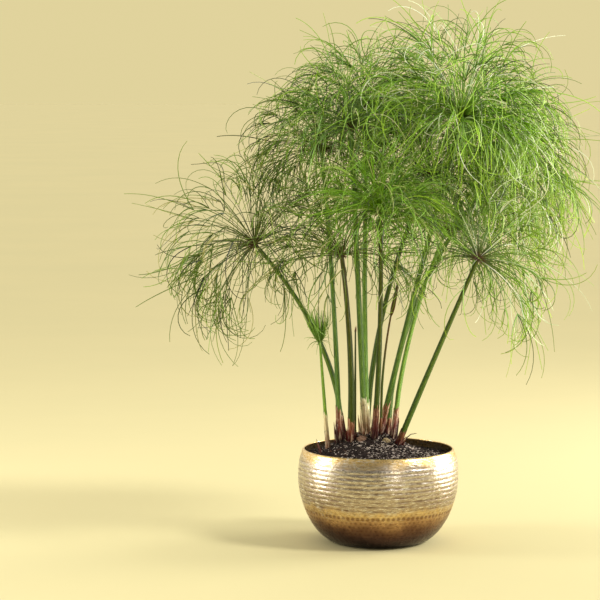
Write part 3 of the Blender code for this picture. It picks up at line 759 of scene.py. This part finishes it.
def sheath_scale(letter, scale, draw):
    """One curled scale as (points, faces, values), against the foot of a stem."""
    height, direction, _ = SHEATHS[letter]
    share, turn, half_width, gap, flare, low = scale
    line = lines_of[letter]
    heading = unit(line[1] - line[0])
    across = unit(np.array([1.0, 0.0, 0.0]) - heading * heading[0])
    other = np.cross(heading, across)
    thickness = THICKNESS[letter]
    u = np.linspace(-1.0, 1.0, ROUND_STEPS)[None]
    v = np.linspace(0.0, 1.0, UP_STEPS)[:, None]
    angle = math.radians(direction + turn + draw.uniform(-20.0, 20.0)) + u * half_width
    ragged = 0.07 * np.interp(u, np.linspace(-1.0, 1.0, 18), draw.normal(0.0, 1.0, 18))
    point = (0.5 + 0.5 * np.cos(u * math.pi)) ** 1.3
    top = height * share * draw.uniform(0.90, 1.06) * np.clip(low + (1.0 - low) * point + ragged, 0.05, 1.0)
    lift = STEM_DEPTH - 0.004 + (top + 0.004) * v
    bulge = 1.0 + 0.10 * swell(v, 0.35)
    wave = 0.0002 * np.sin(angle * 5.0 + v * 4.0)
    away = (gap + flare * v**1.6 * draw.uniform(0.6, 1.3)) * GAP_PART * thickness + wave
    radius = STEM_RADIUS * thickness * blunt_triangle(angle) * bulge + away
    points = (line[0] + heading * lift[..., None]
              + (across * np.cos(angle)[..., None] + other * np.sin(angle)[..., None]) * radius[..., None])
    index = np.arange(ROUND_STEPS * UP_STEPS).reshape(UP_STEPS, ROUND_STEPS)
    faces = np.stack([index[:-1, :-1], index[:-1, 1:], index[1:, 1:], index[1:, :-1]], axis=-1).reshape(-1, 4)
    values = {"along": lift / height, "round": angle, "length": lift}
    values = {name: np.broadcast_to(value, index.shape).ravel() for name, value in values.items()}
    return points.reshape(-1, 3), faces.tolist(), {**values, "tone": draw.random()}


# %% [markdown]
# Both sheath finishes run from a near-black foot through their own colour to a paler, drier point.
# Long streaks of the fibre group break them up: pale where the skin has dried and dark where it has
# rotted, so that no two scales look alike.

# %% Sheath finishes
PAPER_THICKNESS = 0.0004
FIRST_SHEATH_SEED = 100


def make_paper(name, foot, low, middle, tip, pale, dark):
    material, tree = new_finish(name, 0.50, 0.25)
    lines = place_group(tree, fibres, 4.0)
    spots = place_group(tree, mottling, 110.0, 600.0)
    shifted = plus(stored(tree, "along"), times(plus(spots["Broad"], -0.5), 0.7))
    tone = ramp(shifted, (0.05, foot), (0.22, low), (0.60, middle), (0.95, tip))
    tone = blend(1.0, tone, between(stored(tree, "tone"), 0.0, 1.0, 0.55, 1.40), "MULTIPLY")
    dry = plus(lines["Streak"], times(stored(tree, "tone"), 0.10))
    tone = blend(between(dry, 0.63, 0.68, 0.0, 0.90), tone, pale)
    tone = blend(between(lines["Streak"], 0.44, 0.36, 0.0, 0.80), tone, dark)
    tone = blend(between(spots["Broad"], 0.56, 0.70, 0.0, 0.75), tone, foot)
    return complete(material, tone, plus(lines["Rib"], times(spots["Fine"], 0.4)), 0.6, 0.0006)


papers = {
    "red": make_paper(
        "sheath_red", (0.016, 0.007, 0.008), (0.060, 0.011, 0.012), (0.170, 0.030, 0.022),
        (0.340, 0.140, 0.060), (0.860, 0.720, 0.500), (0.024, 0.006, 0.007)),
    "cream": make_paper(
        "sheath_cream", (0.032, 0.014, 0.010), (0.300, 0.130, 0.075), (0.700, 0.560, 0.320),
        (0.880, 0.810, 0.460), (0.950, 0.900, 0.640), (0.240, 0.100, 0.050)),
}
for number, (letter, (_, _, colour)) in enumerate(SHEATHS.items()):
    draw = np.random.default_rng(FIRST_SHEATH_SEED + number)
    scales = SCALES if letter in TALL_STEMS else SCALES[:4]
    points, faces, values = join(*(sheath_scale(letter, scale, draw) for scale in scales))
    values["fibre"] = fibre_vector(values.pop("round"), values.pop("length"))
    node = f"sheath_{letter}"
    piece = make_piece(f"{node}_scales", points, faces, papers[colour], values, node)
    paper = piece.modifiers.new("paper", "SOLIDIFY")
    paper.thickness = PAPER_THICKNESS
    paper.offset = 1.0
print("sheaths:", len(SHEATHS))

# %% [markdown]
# ## The mops
# A mop is an umbel: up to 250 rays leave one small hub in all directions but straight down. Each ray is
# stiff for about ten centimetres, and then it splits into a few thin threads that hang and curl. Rays
# and threads are real tubes of three sides, because hair curves would not export as a mesh.

# %% Measure the mops
FEWER = 1.0
RAY_RADIUS = 0.00068
THREAD_RADIUS = 0.00078
HUB_RADIUS = 0.0048
OVERHANG = 0.024
# how many rays, how far down the lowest point, length of the longest, share of it of the shortest, how
# many threads each ray has, how strongly they hook, how thin the mop is towards the front, and how long
# its upright rays are beside the level ones
MOPS = {
    "a": (145, -0.36, 0.122, 0.80, 3.6, 0.9, 0.5, 1.00),
    "b": (110, -0.10, 0.118, 0.80, 3.0, 0.8, 0.8, 1.00),
    "c": (200, 0.18, 0.090, 0.50, 3.0, 0.5, 0.0, 1.00),
    "d": (145, -0.34, 0.118, 0.80, 3.4, 0.9, 0.9, 0.90),
    "e": (140, -0.15, 0.118, 0.65, 3.6, 0.9, 0.2, 0.95),
    "f": (250, -0.10, 0.104, 0.40, 4.8, 0.8, 0.0, 1.12),
    "g": (120, -0.10, 0.112, 0.60, 3.2, 0.8, 0.3, 1.00),
    "h": (150, -0.10, 0.120, 0.55, 3.6, 0.8, 0.0, 1.05),
    "i": (125, -0.20, 0.118, 0.55, 3.6, 0.9, 0.3, 1.00),
    "j": (120, -0.20, 0.118, 0.60, 3.6, 0.9, 0.5, 0.95),
    "k": (185, -0.45, 0.124, 0.50, 4.6, 0.9, 0.0, 0.70),
}
print("rays in the fullest mop:", max(mop[0] for mop in MOPS.values()))

# %% [markdown]
# The rays are spread like the seeds of a sunflower, evenly over a ball about the heading of the stem,
# and then nudged at random. A ray arches about a level axis, which turns it downwards, and each thread
# hooks and curls about an axis of its own. All of them thin out towards their ends.

# %% How rays and threads grow
def spread_directions(count, lowest, heading, draw):
    """Directions spread evenly over a ball about the stem's heading, down to the lowest."""
    number = np.arange(count) + 0.5
    up = 1.0 - (1.0 - lowest) * number / count
    turn = math.pi * (1.0 + math.sqrt(5.0)) * number
    flat = np.sqrt(1.0 - up**2)
    even = np.stack([flat * np.cos(turn), flat * np.sin(turn), up], axis=1)
    tilted = np.array(Vector(UP).rotation_difference(Vector(heading)).to_matrix())
    return unit(even @ tilted.T + draw.normal(0.0, 0.07, even.shape))


def random_axes(count, strength, draw):
    return unit(draw.normal(0.0, 1.0, (count, 3))) * draw.normal(0.0, strength, (count, 1))


def hooking_axes(headings, strength, draw):
    """Axes that turn each heading downwards, and on past hanging into a hook."""
    level = np.cross(headings, -UP) + draw.normal(0.0, 0.08, headings.shape)
    return unit(level) * strength[:, None]


def tapered(count, stations, thick, end_share, draw):
    profile = 1.0 - (1.0 - end_share) * np.linspace(0.0, 1.0, stations) ** 1.5
    return thick * draw.uniform(0.75, 1.35, (count, 1)) * profile


def strands(lines, sides, thick, end_share, along, tone, draw, most=1.0):
    """Tapered tubes as a part for join. along is its start and its rise, tone its middle and its spread."""
    points, faces, _, station = tubes(lines, tapered(*lines.shape[:2], thick, end_share, draw), sides)
    tones = np.full(len(lines), tone[0])
    if tone[1]:
        tones = np.clip(draw.normal(*tone, len(lines)), 0.0, most)
    values = {"along": along[0] + along[1] * station, "tone": np.repeat(tones, sides * lines.shape[1])}
    return points, faces, values


# %% [markdown]
# The hub is a small round knob ringed by short brown scales. It is joined to the rays, so that a mop is
# one piece, and a stored value runs from 0 at the hub to 1 at the tips of the threads for its colours.

# %% Hub of a mop
def hub_knob(centre, heading, draw):
    """The knob and its ring of scales, as parts for join."""
    shares = np.linspace(-1.0, 1.0, 9)
    line = centre + heading * shares[:, None] * HUB_RADIUS * 0.8
    points, faces, _, _ = tubes(line[None], HUB_RADIUS * np.sqrt(np.maximum(0.03, 1.0 - shares**2)), 14)
    outward = spread_directions(22, -0.35, heading, draw)
    outward = outward[np.abs(outward @ heading) < 0.5]
    lengths = draw.uniform(0.007, 0.014, len(outward))
    axes = random_axes(len(outward), 0.3, draw)
    starts = centre + outward * HUB_RADIUS * 0.7
    scales = sagging_lines(starts, outward - heading * 0.5, lengths, 0.0, axes, 4)
    ring = strands(scales, 4, 0.0013, 0.15, (0.02, 0.05), (0.5, 0.0), draw)
    return (points, faces, {"along": 0.0, "tone": 0.4}), ring


# %% [markdown]
# One mop grows in two steps. Its rays run out from the hub, fewer towards the front where the real mop
# lets the stem be seen, and then at least two threads carry on from the tip of each ray. A thread that
# would leave the measured box by more than the allowed overhang is dropped.

# %% Rays and threads of a mop
RAY_STEPS, THREAD_STEPS = 6, 10
THREAD_LENGTHS = (0.050, 0.145)
THREAD_SPREAD = 0.36


def grow_mop(letter, seed):
    draw = np.random.default_rng(seed)
    line, size = lines_of[letter], TALL_STEMS[letter][3]
    rays_wanted, lowest, longest, shortest, thread_count, hooking, thin_front, upright = MOPS[letter]
    heading = unit(line[-1] - line[-2])
    centre = line[-1] + heading * (0.0003 + 0.55 * HUB_RADIUS)
    outward = spread_directions(int(rays_wanted * FEWER), lowest, heading, draw)
    outward = outward[draw.random(len(outward)) >= thin_front * np.clip(-1.5 * outward[:, 1], 0.0, 1.0)]
    count = len(outward)
    lengths = longest * size * draw.uniform(shortest, 1.05, count)
    lengths *= 1.0 + (upright - 1.0) * np.clip(1.4 * outward[:, 2], 0.0, 1.0)
    arching = draw.uniform(0.20, 0.85, count) * np.hypot(outward[:, 0], outward[:, 1])
    curl = hooking_axes(outward, arching, draw) + random_axes(count, 0.15, draw)
    rays = sagging_lines(centre + outward * HUB_RADIUS * 0.7, outward, lengths, 0.0, curl, RAY_STEPS)
    ray_part = strands(rays, 3, RAY_RADIUS, 0.80, (0.03, 0.47), (0.5, 0.2), draw)

    split = draw.poisson(thread_count - 2.0, count) + 2
    ends = np.repeat(rays[:, -1], split, axis=0)
    onward = np.repeat(unit(rays[:, -1] - rays[:, -2]), split, axis=0)
    threads = len(ends)
    headings = unit(onward + draw.normal(0.0, THREAD_SPREAD, (threads, 3)))
    lengths = draw.uniform(*THREAD_LENGTHS, threads) * min(size, 1.08)
    curl = hooking_axes(headings, hooking * draw.uniform(0.2, 2.8, threads), draw)
    curl += random_axes(threads, 1.3, draw)
    hung = sagging_lines(ends, headings, lengths, draw.uniform(0.0, 0.5, threads), curl, THREAD_STEPS, 0.8)
    low, high = np.array(cad_box[0]) - OVERHANG, np.array(cad_box[1]) + OVERHANG
    hung = hung[((hung > low) & (hung < high)).all(axis=(1, 2))]
    thread_part = strands(hung, 3, THREAD_RADIUS, 0.58, (0.50, 0.50), (0.5, 0.30), draw)
    return join(ray_part, thread_part, *hub_knob(centre, heading, draw))


# %% [markdown]
# Rays are brown at the hub, then darker just beyond it, which is painted shade, and green from there on,
# and most mops are lighter towards the tips, which is partly painted light. A few threads are dry and
# straw-coloured; in the bright and crown greens that pale colour is near white, a painted glint. The
# plant is lit from its right, and on top of that the shaded set on its left mops is painted shade, more
# olive and darker, and the bright set on its right ones is painted light, so there are five sets of
# tones. The fan and the crown are only variants of the middle and the bright green, and the crown is
# lighter low on its rays, painted light where its rays shade the hub.

# %% Greens of the mops
def make_ray_green(name, dark, green, tip, dry):
    material, tree = new_finish(name, 0.42, 0.4)
    spots = place_group(tree, mottling, 9.0, 160.0)
    # from the brown hub through a darker band, painted shade, to lighter tips, partly painted light
    tone = ramp(
        stored(tree, "along"), (0.0, (0.070, 0.036, 0.022)), (0.045, (0.110, 0.066, 0.028)),
        (0.10, dark), (0.45, green), (1.0, tip))
    mixed = plus(times(stored(tree, "tone"), 0.7), times(spots["Broad"], 0.3))
    tone = blend(1.0, tone, between(mixed, 0.1, 0.9, 0.05, 2.2), "MULTIPLY")
    # dry threads: straw in most greens; near white in the crown and bright greens, a painted glint
    tone = blend(between(stored(tree, "tone"), 0.82, 0.94, 0.0, 0.85), tone, dry)
    rough = between(spots["Fine"], 0.0, 1.0, 0.30, 0.60)
    return complete(material, tone, spots["Fine"], 0.3, 0.0003, rough)


# the tones low on a ray (mostly darker: painted shade), along it, at the tips of its threads (lighter:
# partly painted light), and where they are dry (near white in crown and bright: a painted glint)
GREENS = {
    "shaded": ((0.070, 0.092, 0.008), (0.074, 0.126, 0.007), (0.128, 0.228, 0.012), (0.440, 0.400, 0.150)),
    "middle": ((0.054, 0.098, 0.010), (0.085, 0.200, 0.011), (0.208, 0.360, 0.024), (0.640, 0.630, 0.360)),
    "fan": ((0.155, 0.295, 0.013), (0.148, 0.312, 0.013), (0.138, 0.262, 0.019), (0.400, 0.420, 0.150)),
    # the crown is lighter low on its rays than along them: painted light where its own rays shade the hub
    "crown": ((0.165, 0.320, 0.014), (0.112, 0.260, 0.011), (0.295, 0.480, 0.033), (0.900, 0.900, 0.780)),
    "bright": ((0.056, 0.100, 0.008), (0.105, 0.235, 0.010), (0.300, 0.450, 0.036), (0.900, 0.900, 0.780)),
}
FIRST_MOP_SEED = 40
GREEN_SLOTS = {"fan": "middle", "crown": "bright"}
# shaded is painted shade on the left mops, bright is painted light on the right ones
MOP_GREENS = {
    "a": "shaded", "b": "shaded", "c": "fan", "d": "bright", "e": "shaded", "f": "crown",
    "g": "middle", "h": "middle", "i": "middle", "j": "middle", "k": "bright",
}
greens = {green: make_ray_green(f"ray_green_{green}", *tones) for green, tones in GREENS.items()}
total = 0
for number, (letter, green) in enumerate(MOP_GREENS.items()):
    points, faces, values = grow_mop(letter, FIRST_MOP_SEED + number)
    slot = f"ray_green_{GREEN_SLOTS.get(green, green)}"
    make_piece(f"mop_{letter}", points, faces, greens[green], values, f"head_{letter}")
    total += sum(len(face) - 2 for face in faces)
print("triangles in the mops:", total)

# %% [markdown]
# ## The short growths
# Between the tall stems stand a young stem with a stiff brush of unopened rays, a closed brown bud on a
# thin stem, and two pointed shoots. They are made with the same helpers as the mops.

# %% Young brush
def grow_brush(blades=64):
    draw = np.random.default_rng(7)
    line = lines_of["young"]
    heading = unit(line[-1] - line[-2])
    outward = spread_directions(blades, 0.87, heading, draw)
    starts = line[-1] + (outward - heading * (outward @ heading)[:, None]) * 0.006 - heading * 0.002
    lengths = draw.uniform(0.038, 0.064, blades)
    stiff = sagging_lines(starts, outward, lengths, -0.25, random_axes(blades, 0.12, draw), 6)
    brush = strands(stiff, 4, 0.0010, 0.2, (0.16, 0.60), (0.45, 0.2), draw, most=0.85)
    sideways = spread_directions(18, -0.2, heading, draw)[5:]
    lengths = draw.uniform(0.020, 0.044, len(sideways))
    loose = sagging_lines(line[-1], sideways, lengths, 1.2, random_axes(len(sideways), 0.5, draw), 6)
    hairs = strands(loose, 3, 0.0005, 0.3, (0.3, 0.5), (0.5, 0.0), draw)
    throat = line[-1] + heading * np.linspace(-0.001, 0.018, 6)[:, None]
    points, faces, _, station = tubes(throat[None], np.linspace(0.0034, 0.0050, 6), 12)
    return join(brush, hairs, (points, faces, {"along": 0.2 + 0.3 * station, "tone": 0.7}))


points, faces, values = grow_brush()
make_piece("young_brush_blades", points, faces, greens["middle"], values, "young_brush")
print("brush points:", len(points))

# %% [markdown]
# The bud is a spindle wrapped in overlapping scales. A tube with a swollen middle, pushed in along
# three spiral flutes, gives the overlaps, and the shoots are plain pointed tubes with two creases.

# %% Bud and shoots
SPINDLE_SIDES = 30


def spindle(name, line, radii, flutes, twist, material, tone, red, stands_for):
    """A pointed piece round one line, with creases that run up it."""
    points, faces, around, station = tubes(line[None], radii, SPINDLE_SIDES)
    middles = np.repeat(line, SPINDLE_SIDES, axis=0)
    crease = 1.0 - 0.16 * np.abs(np.sin((around * flutes + station * twist) / 2.0)) ** 6
    points = middles + (points - middles) * crease[:, None]
    fibre = fibre_vector(around, station * np.linalg.norm(line[-1] - line[0]))
    values = {"tone": tone, "red": red, "along": 0.1 + 0.9 * station, "fibre": fibre}
    make_piece(name, points, faces, material, values, stands_for)


share = np.linspace(0.0, 1.0, 24)[:, None]
bud_line = lines_of["bud"][-1] + np.array([0.012, -0.002, 0.058]) * share
bud_line += np.array([0.003, 0.0, 0.0]) * share * (1.0 - share)
bud_radii = 0.0012 + 0.0030 * np.sin(math.pi * share[:, 0] ** 0.75) ** 0.8 * (1.0 - 0.35 * share[:, 0])
bud_radii[-1] = 0.0004
spindle("closed_bud", bud_line, bud_radii, 3, 7.0, brown_skin, 0.4, 0.95, "bud")
SHOOTS = {
    "left": ((-0.100, -0.030), (-0.008, 0.002, 0.026), 0.0026),
    "middle": ((-0.058, 0.000), (-0.004, -0.001, 0.046), 0.0030),
}
share = np.linspace(-0.25, 1.0, 16)
for side, (place, lean, thick) in SHOOTS.items():
    shoot_line = np.array([*place, float(soil_height(*place))]) + np.array(lean) * share[:, None]
    shoot_radii = thick * np.clip(1.0 - np.maximum(share, 0.0) ** 1.6, 0.06, 1.0)
    spindle(f"shoot_{side}_scale", shoot_line, shoot_radii, 2, 1.0,
            papers["red"], 0.2, 0.4, f"shoot_{side}")
print("bud and", len(SHOOTS), "shoots")

# %% [markdown]
# ## The rootstock and a twig
# Two knobbly ends of the rootstock show on the heap, the right one peeled and pale. Each is a finely
# divided ball that is stretched to the measured size and roughened by a noise along its own surface.

# %% Rootstock knobs
KNOBS = {
    "left": ((-0.028, -0.030), (0.0100, 0.0075, 0.0075), bark),
    "right": ((0.0135, -0.025), (0.0075, 0.0060, 0.0055), pale_bark),
}
KNOB_SINK = 0.0005
corners, faces = ball(5)
for side, (place, sizes, surface) in KNOBS.items():
    middle = Vector((*place, float(soil_height(*place)) - KNOB_SINK))
    points = []
    for corner in map(Vector, corners):
        rough = 1.0 + 0.20 * noise.fractal(corner * 2.0 + middle * 90.0, 1.0, 2.0, 5)
        rings = 1.0 - 0.06 * abs(math.sin(corner.x * 7.0)) ** 8
        points.append(middle + Vector(c * s * rough * rings for c, s in zip(corner, sizes)))
    node = f"rootstock_{side}"
    make_piece(f"{node}_knob", points, faces, surface, {"tone": 0.6}, node)
print("knobs:", len(KNOBS))

# %% [markdown]
# The twig is a thin crooked tube through the measured points. The cut stub ends in a few dry, torn
# fibres, which are short tubes that stand up from the rim of its top.

# %% Twig and torn fibres
TWIG_FOOT = (0.043, 0.004)
TWIG_REACHES = np.array([
    (-0.006, 0.0, -0.009), (0.0, 0.0, 0.0), (0.006, 0.0, 0.009), (0.014, 0.0, 0.016), (0.024, -0.001, 0.018)])
TWIG_STEPS = 17
STUB_RIM = 0.0011
TORN = 9
draw = np.random.default_rng(12)
ground = np.array([*TWIG_FOOT, float(soil_height(*TWIG_FOOT))])
steps = np.linspace(0.0, 4.0, TWIG_STEPS)
twig = ground + np.stack([np.interp(steps, np.arange(5), reach) for reach in TWIG_REACHES.T], axis=1)
twig[1:-1] += draw.normal(0.0, 0.0002, (TWIG_STEPS - 2, 3))
points, faces, _, _ = tubes(twig[None], 0.0013 * np.linspace(1.0, 0.4, TWIG_STEPS), 8)
make_piece("twig_bark", points, faces, chips, {"tone": 0.2}, "twig")

turn = np.arange(TORN) / TORN * math.tau
rim = lines_of["stub"][-1] + STUB_RIM * np.stack([np.cos(turn), np.sin(turn), np.full(TORN, -1.0)], axis=1)
headings = UP + draw.normal(0.0, 0.16, (TORN, 3))
lengths = draw.uniform(0.003, 0.011, TORN)
torn = sagging_lines(rim, headings, lengths, 0.0, random_axes(TORN, 0.5, draw), 4)
points, faces, around, station = tubes(torn, tapered(TORN, 5, 0.0006, 0.3, draw), 4)
values = {"tone": 0.4, "along": 0.5 + 0.4 * station, "fibre": fibre_vector(around, station * 0.01)}
make_piece("stub_torn_fibres", points, faces, papers["red"], values)
print("twig and", TORN, "torn fibres")

# %% [markdown]
# ## Studio
# The plant stands on a plain pale floor, which runs far past the picture so that its edge never shows
# near the plant. Its tone is broken up very slightly by the mottling.

# %% Floor
FLOOR_TONES = ((0.615, 0.555, 0.310), (0.640, 0.572, 0.318))
FAR = 60.0
material, tree = new_finish("pale_floor", 0.9, 0.15)
spots = place_group(tree, mottling, 1.2, 40.0)
tone = ramp(spots["Broad"], (0.3, FLOOR_TONES[0]), (0.7, FLOOR_TONES[1]))
mesh = bpy.data.meshes.new("floor")
mesh.from_pydata([(-FAR, -FAR, 0.0), (FAR, -FAR, 0.0), (FAR, FAR, 0.0), (-FAR, FAR, 0.0)], [], [(0, 1, 2, 3)])
mesh.materials.append(complete(material, tone, spots["Fine"], 0.04, 0.001))
floor = bpy.data.objects.new("floor", mesh)
bpy.context.scene.collection.objects.link(floor)
print("floor:", 2.0 * FAR, "m across")

# %% [markdown]
# A wide, soft sun from the right gives the bright side and lights the floor evenly. Two tall lamps that
# stand low put the long pale highlights on both sides of the brass, and a narrow one in front puts the
# faint one on its middle. The warm surroundings are darker towards the front, so that the brass has
# something to mirror.

# %% Lamps and surroundings
LAMP_TONE = (1.0, 0.97, 0.90)
# each tall lamp: place, power, colour, height of its aim, width
TALL_LAMPS = {
    "right": ((2.3, 0.9, 0.8), 75.0, LAMP_TONE, 0.25, 1.4),
    "left": ((-2.3, -0.1, 0.8), 36.0, (1.0, 0.98, 0.92), 0.15, 0.75),
    "front": ((1.4, -3.1, 0.8), 12.0, LAMP_TONE, 0.15, 0.3),
}
TALL_LAMP_LENGTH = 1.6


def add_lamp(name, kind, place, power, colour, aim_height):
    lamp = bpy.data.lights.new(name, kind)
    lamp.energy = power
    lamp.color = colour
    item = bpy.data.objects.new(name, lamp)
    item.location = place
    item.rotation_euler = (Vector((0.0, 0.0, aim_height)) - Vector(place)).to_track_quat("-Z", "Y").to_euler()
    item.visible_camera = False
    bpy.context.scene.collection.objects.link(item)
    return lamp


add_lamp("soft_sun", "SUN", (2.2, -0.9, 2.2), 2.1, LAMP_TONE, 0.3).angle = math.radians(14.0)
for side, (*lamp_values, width) in TALL_LAMPS.items():
    lamp = add_lamp(f"lamp_{side}", "AREA", *lamp_values)
    lamp.shape, lamp.size, lamp.size_y = "RECTANGLE", width, TALL_LAMP_LENGTH

world = bpy.data.worlds.new("warm_studio")
bpy.context.scene.world = world
world.use_nodes = True
tree = world.node_tree
tree.nodes.clear()
toward = add(tree, "ShaderNodeSeparateXYZ", {"Vector": add(tree, "ShaderNodeTexCoord").outputs["Generated"]})
light = blend(between(toward.outputs["Z"], -0.1, 0.9), (0.80, 0.72, 0.50), (1.00, 0.96, 0.86))
light = blend(1.0, light, between(toward.outputs["Y"], -0.9, 0.5, 0.25, 1.15), "MULTIPLY")
lit = add(tree, "ShaderNodeBackground", {"Color": light, "Strength": 1.0})
seen = add(tree, "ShaderNodeBackground", {"Color": (0.750, 0.650, 0.335), "Strength": 1.0})
rays_seen = add(tree, "ShaderNodeLightPath").outputs["Is Camera Ray"]
mixed = add(tree, "ShaderNodeMixShader", {0: rays_seen, 1: lit.outputs[0], 2: seen.outputs[0]})
add(tree, "ShaderNodeOutputWorld", {"Surface": mixed.outputs[0]})
print("lamps:", 1 + len(TALL_LAMPS))

# %% [markdown]
# ## Camera
# The picture seems to be taken from about four metres away and a little above, with a long lens. The
# camera stands there, tipped down a few degrees and turned slightly left, because the bowl isn't in
# the middle.

# %% Camera
PICTURE_WIDTH = 600.0
FOCAL_PIXELS = 2450.0
SENSOR_WIDTH = 36.0
TIPPED_DOWN = math.radians(5.3)
TURNED_LEFT = math.atan(79.0 / FOCAL_PIXELS)
camera_data = bpy.data.cameras.new("camera")
camera_data.sensor_width = SENSOR_WIDTH
camera_data.lens = SENSOR_WIDTH * FOCAL_PIXELS / PICTURE_WIDTH
camera = bpy.data.objects.new("camera", camera_data)
camera.location = (0.0, -4.26, 0.82)
camera.rotation_euler = (math.pi / 2.0 - TIPPED_DOWN, 0.0, TURNED_LEFT)
bpy.context.scene.collection.objects.link(camera)
bpy.context.scene.camera = camera
bpy.context.scene.view_settings.view_transform = "Standard"
print("camera lens:", camera_data.lens, "mm")
